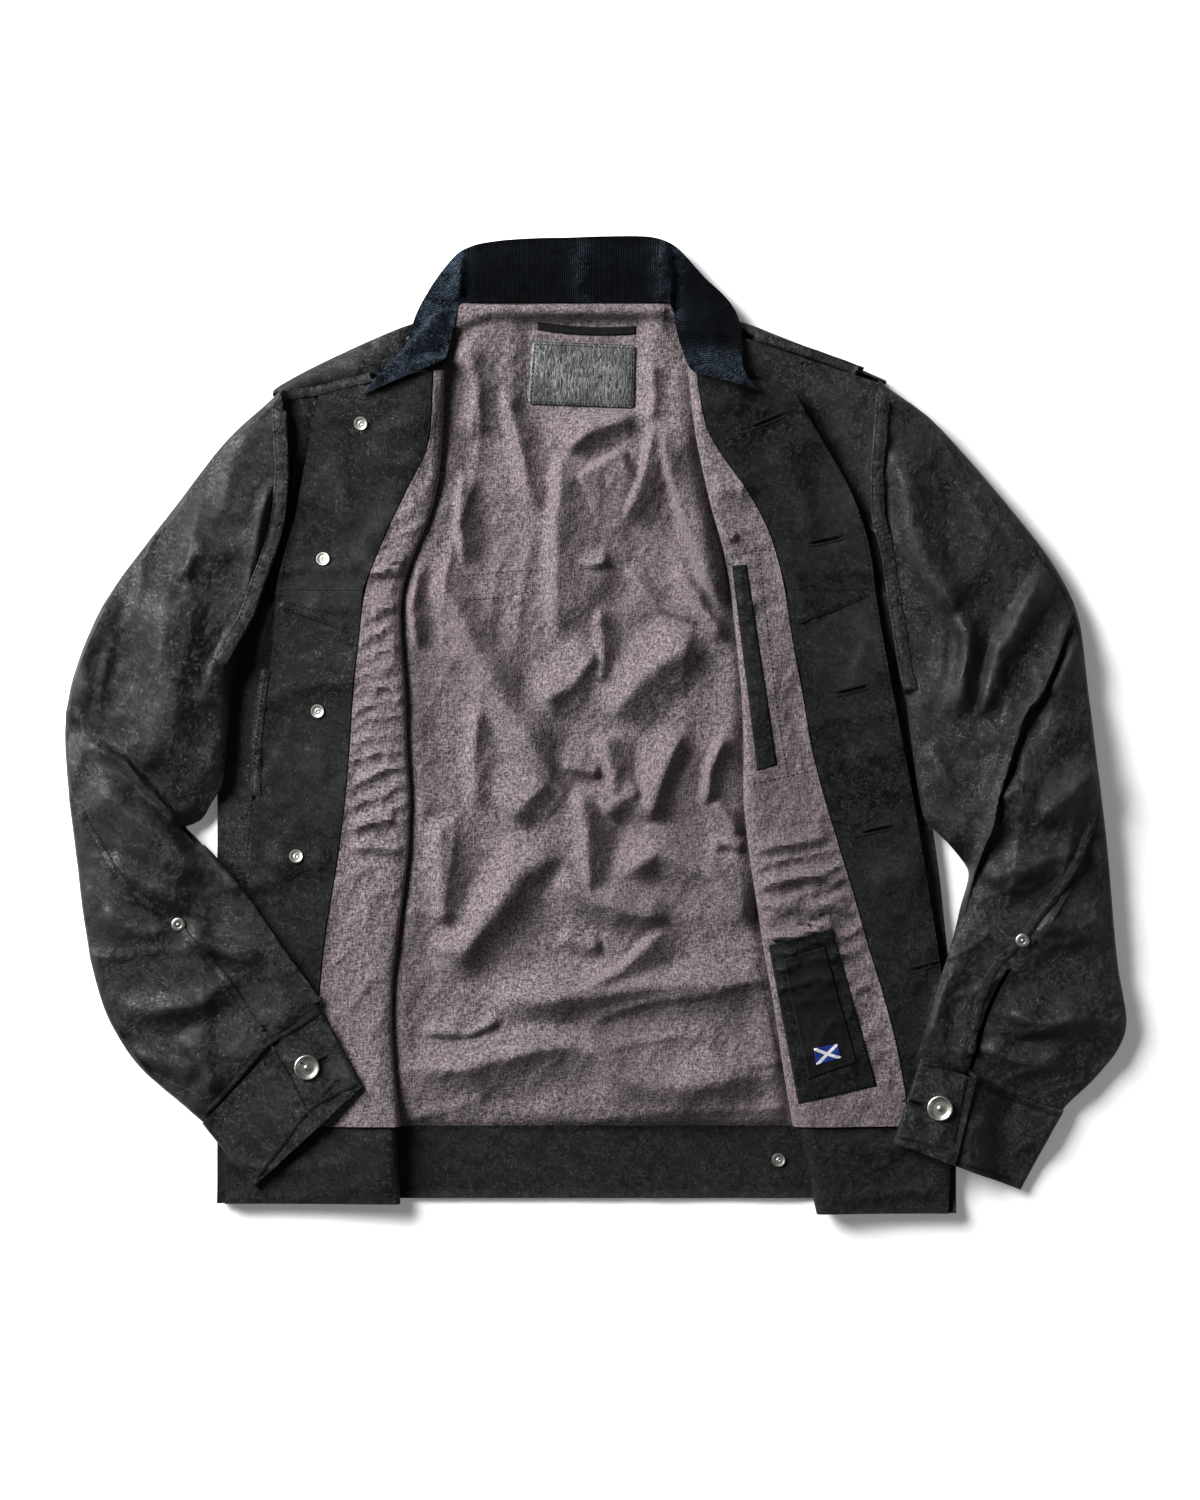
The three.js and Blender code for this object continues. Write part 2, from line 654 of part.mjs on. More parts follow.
function layCollar() {
  const grid = gridOf(resample(NECK, 30), 4, (row, u) => {
    const [x, y] = [lerp(row.neckX, row.outX, u), lerp(row.neckY, row.outY, u)];
    return new THREE.Vector3(x, y, 6 + row.rise * Math.sin(Math.PI * u));
  });
  pileOn(lay("collar", grid, COLLAR, CORDUROY));
}

// A flat piece with four corners, given in order round it, that lies on the pile
function layPatch(name, corners, wall, finish, cells = 4) {
  const [a, b, c, d] = corners.map(([x, y]) => new THREE.Vector3(x, y, 0));
  const rows = Array.from({ length: cells + 1 }, (_, k) => k / cells);
  const grid = gridOf(rows, cells, (v, u) => a.clone().lerp(b, u).lerp(d.clone().lerp(c, u), v));
  pileOn(lay(name, grid, wall, finish));
}

// A round metal piece that lies on the slope of the cloth under it, just clear of its highest point
function layRound(name, x, y, profile, finish) {
  const radius = Math.max(...profile.map((p) => p.x));
  const reach = radius + CELL / 2;
  const height = (dx, dy) => pile[cellOf(y + dy) * SIDE + cellOf(x + dx)];
  const slope = (dx, dy) => (height(dx, dy) - height(-dx, -dy)) / (2 * radius);
  const normal = new THREE.Vector3(-slope(radius, 0), -slope(0, radius), 1).normalize();
  let lift = -Infinity;
  for (let dx = -reach; dx <= reach; dx += 1)
    for (let dy = -reach; dy <= reach; dy += 1) {
      if (Math.hypot(dx, dy) > reach) continue;
      lift = Math.max(lift, height(dx, dy) + (normal.x * dx + normal.y * dy) / normal.z);
    }
  const mesh = add(name, new THREE.LatheGeometry(profile, 16), finish);
  mesh.quaternion.setFromUnitVectors(new THREE.Vector3(0, 1, 0), normal);
  mesh.position.set(x, y, lift + SEAM);
}

// A dished button: a rim round a hollow with a nub in the middle
const dished = (diameter) =>
  [
    [0, 0],
    [0.44, 0],
    [0.5, 0.06],
    [0.48, 0.14],
    [0.4, 0.15],
    [0.3, 0.08],
    [0.14, 0.07],
    [0.1, 0.13],
    [0, 0.14],
  ].map(([r, z]) => new THREE.Vector2(r * diameter, z * diameter));

// A tack back or rivet head: a low dome with a shallow dimple
const domed = (diameter) =>
  [
    [0, 0],
    [0.5, 0],
    [0.47, 0.08],
    [0.3, 0.14],
    [0.12, 0.15],
    [0, 0.12],
  ].map(([r, z]) => new THREE.Vector2(r * diameter, z * diameter));

layBack();
layPatch("leather_label", [[-46, 274], [28, 271], [27, 226], [-49, 229]], LABEL, LEATHER);
layPatch("hanger_loop", [[-40, 288], [26, 285], [26, 279], [-40, 282]], LABEL, WOVEN, 3);
for (const side of ["left", "right"]) layFront(side);
layPatch("welt_pocket", [[95, 112], [106, 114], [129, -28], [113, -32]], LABEL, SMOOTH, 6);
layPatch("label_patch", [[124, -156], [167, -144], [198, -256], [143, -268]], LABEL, SMOOTH);
layPatch("woven_label", [[132, -166], [162, -157], [185, -239], [150, -251]], LABEL, WOVEN);
for (const side of ["left", "right"]) {
  const sleeve = laySleeve(side);
  layCuff(side);
  for (const grid of sleeve) pileOn(grid);
}
layCollar();
layRound("tack_1", -167, 214, domed(TACK), NICKEL);
layRound("tack_2", -194, 118, domed(TACK), NICKEL);
layRound("tack_3", -198, 10, domed(TACK), NICKEL);
layRound("tack_4", -213, -93, domed(TACK), NICKEL);
layRound("tack_hem", 130, -310, domed(TACK), NICKEL);
layRound("sleeve_rivet_left", -296, -141, domed(RIVET), NICKEL);
layRound("sleeve_rivet_right", 301, -152, domed(RIVET), NICKEL);
layRound("cuff_button_left", -205, -242, dished(CUFF_BUTTON), NICKEL);
layRound("cuff_button_right", 243, -271, dished(CUFF_BUTTON), NICKEL);

export default jacket;
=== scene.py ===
# %% [markdown]
# # A waxed cotton jacket, laid open
# The jacket lies on its back with both fronts turned outwards, so that its lining, facings and labels show.
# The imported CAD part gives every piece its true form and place. This lesson puts the cloth's look over it:
# creases, puckers, topstitching, weave and wear.

# %% The frame
import json
import math
import bmesh
import bpy
import numpy as np
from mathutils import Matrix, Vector
from mathutils.bvhtree import BVHTree


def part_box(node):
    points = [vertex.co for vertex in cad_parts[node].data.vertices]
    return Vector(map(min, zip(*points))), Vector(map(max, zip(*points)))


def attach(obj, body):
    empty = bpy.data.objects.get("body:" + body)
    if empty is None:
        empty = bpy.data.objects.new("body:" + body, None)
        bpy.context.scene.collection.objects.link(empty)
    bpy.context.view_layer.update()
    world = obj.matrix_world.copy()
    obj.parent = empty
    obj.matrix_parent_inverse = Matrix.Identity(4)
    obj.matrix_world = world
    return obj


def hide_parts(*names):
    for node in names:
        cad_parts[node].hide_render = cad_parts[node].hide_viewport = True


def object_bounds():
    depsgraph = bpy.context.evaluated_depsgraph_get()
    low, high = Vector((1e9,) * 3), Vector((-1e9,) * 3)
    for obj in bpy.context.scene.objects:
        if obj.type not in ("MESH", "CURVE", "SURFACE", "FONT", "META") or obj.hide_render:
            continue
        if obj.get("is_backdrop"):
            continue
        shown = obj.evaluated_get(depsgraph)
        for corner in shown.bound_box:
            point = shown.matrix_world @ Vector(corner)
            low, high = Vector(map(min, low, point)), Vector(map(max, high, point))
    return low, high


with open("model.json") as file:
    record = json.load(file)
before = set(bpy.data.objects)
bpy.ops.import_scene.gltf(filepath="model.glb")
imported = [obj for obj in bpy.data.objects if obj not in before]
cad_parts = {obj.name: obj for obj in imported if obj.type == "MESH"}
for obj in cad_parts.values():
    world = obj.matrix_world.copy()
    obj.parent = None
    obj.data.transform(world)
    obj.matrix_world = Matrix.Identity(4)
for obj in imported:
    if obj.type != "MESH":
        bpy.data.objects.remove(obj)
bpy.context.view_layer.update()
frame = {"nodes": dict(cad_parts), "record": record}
MM = 0.001

# %% [markdown]
# ## Noise
# Cloth is never even. Smooth noise, made on a lattice of fixed random values, gives soft unevenness at any
# size, and the same script always gives the same cloth.

# %% Noise of a chosen size
def lattice(i, j, seed):
    h = np.sin(i * 127.1 + j * 311.7 + seed * 74.7) * 43758.5453
    return h - np.floor(h)


def noise(x, y, size, seed=0):
    """Smooth values from 0 to 1 that change over about size millimetres."""
    x, y = x / size + seed * 3.7, y / size - seed * 1.9
    i, j = np.floor(x), np.floor(y)
    u, v = x - i, y - j
    u, v = u * u * u * (u * (6 * u - 15) + 10), v * v * v * (v * (6 * v - 15) + 10)
    low = lattice(i, j, seed) * (1 - u) + lattice(i + 1, j, seed) * u
    high = lattice(i, j + 1, seed) * (1 - u) + lattice(i + 1, j + 1, seed) * u
    return low * (1 - v) + high * v


def turned_noise(x, y, size, seed=0):
    """Two turned layers together, which hides the lattice's own directions."""
    first = noise(0.8 * x - 0.6 * y, 0.6 * x + 0.8 * y, size, seed)
    return 0.6 * first + 0.4 * noise(0.4 * x + 0.92 * y, 0.92 * x - 0.4 * y, size * 0.57, seed + 5)


def rumple(x, y, size, seed=0):
    """Thin soft ridges with wide hollows between them, from 0 to 1, as in crumpled waxed cloth."""
    return (1 - np.abs(2 * turned_noise(x, y, size, seed) - 1)) ** 4


def smooth(t):
    t = np.clip(t, 0, 1)
    return t * t * (3 - 2 * t)


print("rumple, mean:", round(float(rumple(np.arange(500.0), np.arange(500.0) * 0.7, 30).mean()), 3))

# %% [markdown]
# ## Creases
# A crease in laid cloth is a ridge: a crest line with a hollow flank on each side. The flanks differ, since
# the cloth leans. Each is given as its height, its flanks to the left and right of its line, and its crest
# from end to end, all in millimetres. Overlapping creases join, and don't pile up.

# %% The main creases
# (height, left flank, right flank, points of the crest...)
LINING_FOLDS = [
    (3.0, 12, 4, (-96, 182), (-97, 146), (-93, 114)),
    (3.0, 9, 5, (-126, 118), (-132, 82), (-126, 54)),
    (5.0, 15, 13, (-115, 114), (-96, 74), (-76, 36), (-49, -11), (-20, -54)),
    (5.5, 24, 8, (-24, 197), (-28, 146), (-29, 107), (-27, 61)),
    (4.5, 16, 11, (-24, 193), (-5, 208), (27, 223)),
    (4.5, 5, 30, (-17, 174), (2, 183), (22, 195)),
    (4.5, 18, 4, (42, 215), (33, 178), (20, 144)),
    (5.0, 20, 6, (45, 215), (52, 180), (64, 142), (78, 105), (90, 81)),
    (3.0, 8, 9, (55, 114), (72, 89), (91, 59)),
    (3.0, 13, 2.5, (-17, 113), (-5, 114), (10, 116)),
    (3.0, 9, 5, (20, 112), (45, 83), (73, 72)),
    (3.5, 14, 12, (-42, 15), (-19, 28), (2, 55)),
    (6.0, 18, 19, (7, 5), (31, 32), (72, 65)),
    (4.0, 14, 10, (5, -4), (11, -29), (14, -54)),
    (5.0, 16, 10, (34, -69), (47, -36), (61, -2)),
    (4.5, 10, 4, (91, -6), (81, -29), (77, -58)),
    (3.5, 12, 7, (-26, -28), (-12, -31), (4, -34)),
    (4.5, 15, 8, (-13, -41), (-6, -75), (-7, -125)),
    (4.0, 20, 14, (-65, -66), (-47, -51), (-32, -39)),
    (4.0, 18, 13, (2, -64), (18, -51), (32, -44)),
    (4.0, 17, 11, (-112, -64), (-110, -104), (-107, -146)),
    (6.0, 18, 14, (-120, -158), (-93, -161), (-70, -129), (-51, -102), (-22, -92)),
    (5.0, 15, 12, (-33, -106), (0, -126), (38, -135), (54, -139)),
    (5.5, 16, 14, (15, -111), (42, -89), (85, -108), (114, -146)),
    (5.0, 4, 24, (-52, -201), (-14, -189), (18, -173), (52, -141)),
    (5.5, 16, 15, (-77, -188), (-44, -196), (-12, -193), (38, -186), (120, -182)),
    (2.5, 8, 4, (-127, -218), (-92, -220), (-65, -208)),
    (5.0, 18, 17, (-139, -251), (-60, -236), (-22, -227), (2, -234), (22, -252), (59, -259),
     (106, -248), (138, -251)),
    (2.5, 8, 4, (81, -85), (93, -84), (105, -88)),
    (3.0, 7, 6, (82, -52), (92, -64), (102, -78)),
    (3.5, 12, 8, (-67, 243), (-55, 203), (-49, 168), (-40, 150)),
    (3.0, 14, 9, (-92, 275), (-85, 239), (-90, 203)),
    (2.5, 10, 7, (37, 261), (41, 236), (38, 214)),
    (2.5, 9, 7, (0, 89), (5, 54), (2, 25)),
    (2.5, 12, 9, (-85, 18), (-87, -25), (-83, -64)),
    (2.5, 10, 8, (-26, -150), (-6, -158), (5, -156)),
]
LEFT_SLEEVE_FOLDS = [
    (7.0, 12, 26, (-346, 99), (-352, 69), (-360, 54), (-361, 8)),
    (7.5, 24, 20, (-300, 101), (-304, 61), (-306, 18), (-312, -14), (-320, -36)),
    (4.0, 12, 7, (-263, 74), (-280, 44), (-289, 9)),
    (5.5, 2.5, 9, (-369, -11), (-351, -13), (-331, -24), (-319, -38), (-303, -56), (-287, -74),
     (-267, -101), (-246, -127)),
    (4.0, 5, 7, (-380, 9), (-369, 9), (-357, 6)),
    (3.0, 6, 6, (-362, 78), (-351, 67), (-360, 56)),
    (5.0, 20, 30, (-356, -38), (-332, -58), (-303, -79), (-273, -111)),
    (3.5, 14, 14, (-347, -89), (-319, -111), (-283, -125)),
    (3.5, 10, 12, (-352, -129), (-326, -146), (-300, -146)),
    (4.0, 12, 10, (-290, -146), (-265, -157), (-239, -168)),
    (3.5, 10, 12, (-340, -196), (-312, -203), (-280, -196), (-255, -178)),
    (3.0, 9, 9, (-333, -232), (-308, -238), (-280, -246)),
    (3.5, 12, 10, (-293, -218), (-277, -239), (-267, -259)),
    (3.5, 10, 9, (-276, 132), (-286, 114), (-295, 101)),
    (3.0, 14, 12, (-247, 211), (-260, 175), (-267, 139)),
    (3.0, 12, 12, (-239, 175), (-247, 139), (-250, 111)),
]
RIGHT_SLEEVE_FOLDS = [
    (7.5, 16, 7, (317, 114), (301, 85), (287, 57), (277, 18), (268, 4)),
    (5.5, 14, 8, (258, 85), (264, 61), (261, 32), (255, 6)),
    (5.0, 12, 12, (207, 96), (217, 61), (222, 25)),
    (6.0, 2.5, 30, (345, 86), (331, 68), (317, 31), (298, -14), (287, -49), (282, -71),
     (270, -105), (255, -151)),
    (4.0, 12, 14, (307, -68), (328, -48), (354, -28)),
    (3.5, 10, 12, (317, 18), (328, 39), (338, 61)),
    (3.0, 9, 9, (288, -54), (297, -46), (304, -42)),
    (4.0, 14, 14, (277, -111), (310, -96), (342, -89)),
    (3.5, 12, 14, (310, -139), (335, -143), (362, -136)),
    (4.0, 12, 12, (288, -203), (317, -211), (352, -203)),
    (3.5, 12, 10, (270, -228), (302, -239), (335, -238)),
    (4.0, 10, 10, (256, -168), (245, -196), (238, -225)),
    (3.0, 8, 8, (245, -14), (252, -36), (261, -54)),
    (5.5, 12, 9, (224, 189), (230, 141), (240, 109), (260, 77)),
    (4.0, 7, 12, (206, 214), (207, 182), (206, 150), (212, 118)),
    (3.0, 12, 12, (220, 203), (230, 161), (231, 118)),
]
FRONT_FOLDS = [
    (2.5, 5, 4, (-152, 119), (-140, 116), (-134, 118)),
    (3.0, 7, 3, (-165, 108), (-150, 109), (-135, 109)),
    (2.5, 6, 5, (-160, 81), (-147, 85), (-137, 86)),
    (3.0, 7, 4, (-175, -74), (-158, -68), (-142, -66)),
    (2.5, 6, 5, (-175, -89), (-160, -86), (-137, -89)),
    (3.0, 10, 8, (107, 176), (100, 166), (82, 171)),
    (3.0, 6, 4, (85, 141), (94, 132), (100, 136)),
    (2.5, 8, 6, (111, -89), (138, -84), (167, -79)),
    (2.5, 8, 6, (118, -115), (145, -109), (178, -108)),
    (3.0, 9, 6, (120, -134), (145, -129), (182, -129)),
    (2.5, 7, 6, (121, -151), (145, -149), (174, -142)),
    (2.0, 14, 14, (-190, 211), (-180, 175), (-175, 132)),
    (2.0, 14, 12, (131, 203), (145, 161), (154, 132)),
    (2.0, 16, 12, (-235, -25), (-212, -34), (-187, -32)),
    (2.0, 12, 12, (-239, -96), (-215, -95), (-190, -101)),
    (2.0, 14, 14, (181, 46), (197, 41), (213, 44)),
    (1.8, 14, 14, (181, -25), (200, -19), (220, -22)),
    (2.0, 12, 14, (194, -111), (214, -105), (235, -111)),
]
COLLAR_FOLDS = [
    (4.5, 2.5, 16, (-166, 233), (-157, 243), (-147, 254), (-132, 272), (-112, 293), (-100, 296)),
    (3.5, 9, 4, (-98, 301), (-97, 321), (-97, 342)),
    (3.0, 8, 8, (-120, 309), (-110, 325), (-100, 335)),
    (4.0, 3, 12, (45, 345), (51, 333), (53, 313), (52, 279)),
    (4.5, 3, 14, (51, 275), (67, 260), (95, 247), (115, 237)),
    (2.0, 8, 8, (-10, 343), (-10, 325), (-11, 303)),
    (2.0, 8, 8, (40, 342), (42, 331), (48, 321)),
    (2.0, 10, 10, (74, 318), (82, 289), (85, 256)),
]

# %% A crease's height at any point
def broad(flank):
    """How far a flank reaches: a wide one runs on until it meets the next crease, a steep one stays short."""
    return 1.15 * flank + 0.85 * max(0.0, flank - 6)


def nearest_on(x, y, line):
    """For each point: its distance from the line, the side it is on, how far along the line that is and the
    line's whole length, and the way from the line to the point."""
    line = np.array(line, float)
    steps = np.linalg.norm(np.diff(line, axis=0), axis=1)
    before = np.concatenate([[0], np.cumsum(steps)])
    best = np.full(x.shape, 1e9)
    side, along, off_x, off_y = (np.zeros(x.shape) for _ in range(4))
    for k, (a, b) in enumerate(zip(line[:-1], line[1:])):
        d = (b - a) / steps[k]
        t = np.clip((x - a[0]) * d[0] + (y - a[1]) * d[1], 0, steps[k])
        dx, dy = x - a[0] - d[0] * t, y - a[1] - d[1] * t
        away = np.hypot(dx, dy)
        near = away < best
        best = np.where(near, away, best)
        side = np.where(near, d[0] * dy - d[1] * dx, side)
        along = np.where(near, before[k] + t, along)
        off_x, off_y = np.where(near, dx, off_x), np.where(near, dy, off_y)
    return best, side, along, before[-1], off_x, off_y


# How round a crest is, in millimetres, and the share of a crease in which each of its ends sinks
CREST_ROUND, SINKING_END = 1.1, 0.22


def crease(x, y, high, left, right, *line):
    """The height of one crease at each point, in millimetres."""
    away, side, along, length, _, _ = nearest_on(x, y, line)
    wide = np.where(side > 0, *(broad(flank) for flank in (left, right)))
    soft = np.minimum(CREST_ROUND, wide * 0.25)
    s = np.clip((np.sqrt(away**2 + soft**2) - soft) / wide, 0, 1)
    share = along / length
    ends = smooth(np.minimum(share, 1 - share) / SINKING_END + 0.12)
    return high * ends * (1 - s) ** 1.8


def creases(x, y, rows, swell=1.0):
    """Every crease in a table, joined so that the highest rules."""
    total = np.zeros(x.shape)
    bend = 3.0 * (turned_noise(x, y, 38, 9) - 0.5)
    for high, left, right, *line in rows:
        reach = max(broad(left), broad(right)) + 6
        points = np.array(line)
        (x0, y0), (x1, y1) = points.min(0) - reach, points.max(0) + reach
        near = (x > x0) & (x < x1) & (y > y0) & (y < y1)
        if near.any():
            one = crease(x[near] + bend[near], y[near] - bend[near], high * swell, left, right, *line)
            total[near] = (total[near] ** 5 + one**5) ** 0.2
    return total


FOLDS = (LINING_FOLDS, LEFT_SLEEVE_FOLDS, RIGHT_SLEEVE_FOLDS, FRONT_FOLDS, COLLAR_FOLDS)
print("creases on the lining, sleeves, fronts and collar:", [len(rows) for rows in FOLDS])

# %% [markdown]
# ## Where each layer lies
# Seen from above, each group of nodes covers an area. A map of that area, softened at its border, tells how
# much of a group's creasing belongs at a point.

# %% Maps of the areas
CELL, HALF = 2.0, 400.0
SIDE = int(2 * HALF / CELL)


def corners_of(node):
    mesh = frame["nodes"][node].data
    mesh.calc_loop_triangles()
    points = np.array([v.co for v in mesh.vertices]) / MM
    return points[np.array([t.vertices for t in mesh.loop_triangles])]


def softened(grid, cells):
    reach = np.arange(-3 * cells, 3 * cells + 1)
    weights = np.exp(-0.5 * (reach / cells) ** 2)
    weights /= weights.sum()
    for axis in (0, 1):
        padded = np.pad(grid, [(len(reach) // 2,) * 2 if a == axis else (0, 0) for a in (0, 1)], mode="edge")
        grid = sum(w * np.take(padded, range(k, k + grid.shape[axis]), axis) for k, w in enumerate(weights))
    return grid


def left_of(p, q, x, y):
    """Above 0 where a point lies to the left of the way from p to q, and below 0 to the right of it."""
    return (q[0] - p[0]) * (y - p[1]) - (q[1] - p[1]) * (x - p[0])


def area_map(nodes, soften=3):
    """1 where any of the nodes is, seen from above, and 0 elsewhere."""
    grid = np.zeros((SIDE, SIDE))
    for node in nodes:
        for a, b, c in corners_of(node)[:, :, :2]:
            low, high = np.minimum(np.minimum(a, b), c), np.maximum(np.maximum(a, b), c)
            i0, j0 = ((low + HALF) / CELL).astype(int)
            i1, j1 = ((high + HALF) / CELL).astype(int) + 2
            px, py = np.meshgrid(np.arange(i0, i1) * CELL - HALF, np.arange(j0, j1) * CELL - HALF)
            ways = np.stack([left_of(p, q, px, py) for p, q in ((a, b), (b, c), (c, a))])
            grid[j0:j1, i0:i1] = np.maximum(grid[j0:j1, i0:i1], (ways >= 0).all(0) | (ways <= 0).all(0))
    return softened(grid, soften)


def sample(grid, x, y):
    u, v = (np.clip((c + HALF) / CELL, 0, SIDE - 1.001) for c in (x, y))
    i, j = u.astype(int), v.astype(int)
    u, v = u - i, v - j
    low = grid[j, i] * (1 - u) + grid[j, i + 1] * u
    high = grid[j + 1, i] * (1 - u) + grid[j + 1, i + 1] * u
    return low * (1 - v) + high * v


SIDES = ("left", "right")


def of_sides(*names):
    return [f"{name}_{side}" for name in names for side in SIDES]


FACINGS = of_sides("facing_upper", "facing_lower")
FRONTS = of_sides("front_lining", "front_panel", "front_yoke", "hem_band") + FACINGS
fronts = area_map(FRONTS)
over_lining = area_map(FRONTS + ["collar", "hem_band_back"], 4)
by_fold = area_map(of_sides("front_lining"), 9)
strips = np.clip(area_map(of_sides("front_lining"), 2) - area_map(FACINGS, 2), 0, 1)
facings = area_map(FACINGS, 3)
sleeves = area_map(of_sides("top_sleeve", "under_sleeve"))
cuffs = area_map(of_sides("cuff"), 2)
print("share of the map that the fronts cover:", round(float(fronts.mean()), 3))

# %% [markdown]
# ## One lift for all the layers
# Layers that lie on each other must crease together, or they would cut through each other. So every point
# is lifted by one rule, from where it is and how high it lies. The back lining's sheet is raised a little
# more beside the folds, to close a gap there, so it enters the fronts by about half a millimetre, out of
# sight.

# %% The lift
def pucker(x, y, pitch, seed):
    """Short ridges across a gathered seam, at an uneven pitch."""
    wave = np.abs(np.sin(np.pi * (y - 0.28 * x + 13 * turned_noise(x, y, 27, seed)) / pitch))
    return (1 - wave) ** 1.5 * (0.15 + 1.2 * turned_noise(x, 1.6 * y, 30, seed + 1))


def between(value, low, high, fade):
    return smooth((value - low) / fade) * smooth((high - value) / fade)


def turned(x, y, degrees):
    """The same place measured along and across a direction so many degrees from X."""
    c, s = math.cos(math.radians(degrees)), math.sin(math.radians(degrees))
    return x * c + y * s, y * c - x * s


def drawn(x, y, size, degrees, stretch, seed):
    """Ridges drawn out along one direction, so many degrees from X, as cloth under a pull has."""
    along, across = turned(x, y, degrees)
    across = across + 0.6 * size * (turned_noise(x, y, 3.2 * size, seed + 3) - 0.5)
    return (1 - np.abs(2 * noise(along / stretch, across, size, seed) - 1)) ** 3


def lining_lift(x, y):
    clear = smooth((0.72 - sample(over_lining, x, y)) / 0.66)
    flat = 1 - 0.9 * between(x, -62, 42, 16) * between(y, 214, 300, 14)
    swells = 4.6 * turned_noise(x, y, 84, 1) + 2.4 * turned_noise(x, y, 38, 2)
    fine = 0.7 * rumple(x, y, 27, 3) + 0.4 * rumple(x, y, 13, 4)
    low_half = smooth((-95 - y) / 70)
    fine = fine + 2.3 * (1 - low_half) * drawn(x, y, 30, 82, 3.4, 6)
    fine = fine + 2.6 * low_half * drawn(x, y, 28, 8, 3.2, 7)
    fine = fine + 0.8 * drawn(x, y, 14, 58, 3.0, 8)
    return clear * flat * (creases(x, y, LINING_FOLDS, 2.6) + swells + fine)


def front_lift(x, y):
    strip, facing = sample(strips, x, y), sample(facings, x, y)
    gathered_right = np.maximum(between(y, -205, -75, 22), 0.45 * between(y, 60, 150, 20))
    gathered = np.where(x < 0, between(y, -75, 160, 26), gathered_right)
    ridges = 3.6 * gathered * pucker(x, y, 12.8, 11) + 1.6 * rumple(x, y, 26, 12) + 0.8 * rumple(x, y, 12, 13)
    soft = 2.4 * turned_noise(x, y, 58, 14) + 2.6 * drawn(x, y, 32, 4, 2.4, 15) + 0.6 * rumple(x, y, 19, 16)
    edge_puckers = 0.45 * pucker(x, y, 9.5, 17) * facing * (1 - smooth((facing - 0.75) / 0.25))
    total = strip * ridges + creases(x, y, FRONT_FOLDS, 1.7) + (1 - strip) * soft + edge_puckers
    return sample(fronts, x, y) * total


def sleeve_lift(x, y):
    calm = 1 - 0.75 * sample(cuffs, x, y)
    wide = 3.0 * turned_noise(x, y, 64, 21)
    fine = 0.9 * rumple(x, y, 36, 22) + 0.35 * rumple(x, y, 16, 23)
    upper = smooth((y + 20) / 60)
    for arm, degrees, seed in ((x < 0, 66.0, 25), (x >= 0, 112.0, 26)):
        fine = fine + 1.8 * upper * arm * drawn(x, y, 25, degrees, 3.2, seed)
    for arm, size, degrees, seed in ((x < 0, 26, -20, 27), (x > 0, 24, 22, 28)):
        fine = fine + 1.7 * (1 - upper) * drawn(x, y, size, degrees, 2.2, seed) * arm
    folded = creases(x, y, LEFT_SLEEVE_FOLDS, 1.85) + creases(x, y, RIGHT_SLEEVE_FOLDS, 1.85)
    return sample(sleeves, x, y) * calm * (folded + wide + fine)


# The hollows between the armhole seams and the turned fronts: (lift, points...)
HOLLOWS = [
    (5.0, (-212, 240), (-212, 200), (-218, 150), (-226, 118), (-233, 90), (-240, 60), (-243, 30)),
    (3.2, (196, 165), (200, 120), (206, 80), (210, 40), (216, 0), (226, -50)),
]


def hollow_lift(x, y, z):
    """Low layers rise more than high ones here, but never past them."""
    total = np.zeros(x.shape)
    for high, *line in HOLLOWS:
        total = np.maximum(total, crease(x, y, high, 6.5, 6.5, *line))
    return total * smooth((z - 2.2) / 1.0) * (1 - smooth((z - 5) / 10))


def eased(value, start, room):
    """The value itself up to start, and then ever less, so that it never passes start + room."""
    return np.where(value < start, value, start + room * np.tanh((value - start) / room))


# Lifts are eased from here, and cloth from this height, each with the room that is left above it
LIFT_EASED, LIFT_ROOM = 13, 7
CLOTH_EASED, CLOTH_ROOM = 34, 5


def lift(x, y, z):
    """How far up every point of every laid piece goes, in millimetres."""
    total = (
        smooth((z - 1.7) / 1.2) * lining_lift(x, y)
        + smooth((z - 3) / 6) * front_lift(x, y)
        + smooth((z - 2) / 5) * sleeve_lift(x, y)
        + smooth((z - 6) / 8) * creases(x, y, COLLAR_FOLDS, 1.6)
        + hollow_lift(x, y, z)
    )
    return eased(total, LIFT_EASED, LIFT_ROOM)


middle = lift(np.zeros(1), np.zeros(1), np.full(1, 5.0))
print("lift at the middle of the back:", round(float(middle[0]), 2), "mm")

# %% [markdown]
# ## From a CAD node to cloth
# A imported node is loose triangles. Merged and paired back into four-sided cells, it is the cut piece as a
# coarse net, two faces and a rim. Smoothing it finely and lifting each point gives the cloth its softness.

# %% Cloth from a node
def new_object(name, points, faces, coat):
    mesh = bpy.data.meshes.new(name)
    mesh.from_pydata([tuple(p) for p in np.asarray(points) * MM], [], faces)
    mesh.validate()
    mesh.materials.append(coat)
    obj = bpy.data.objects.new(name, mesh)
    bpy.context.scene.collection.objects.link(obj)
    return obj


def pick(obj):
    bpy.ops.object.select_all(action="DESELECT")
    obj.select_set(True)
    bpy.context.view_layer.objects.active = obj


def apply_modifier(obj, kind, **settings):
    pick(obj)
    modifier = obj.modifiers.new("shape", kind)
    for key, value in settings.items():
        setattr(modifier, key, value)
    bpy.ops.object.modifier_apply(modifier="shape")


def shade_smooth(obj):
    obj.data.polygons.foreach_set("use_smooth", [True] * len(obj.data.polygons))


def points_of(obj):
    flat = np.empty(3 * len(obj.data.vertices))
    obj.data.vertices.foreach_get("co", flat)
    return flat.reshape(-1, 3) / MM


def move_to(obj, points):
    obj.data.vertices.foreach_set("co", (points * MM).ravel())
    obj.data.update()


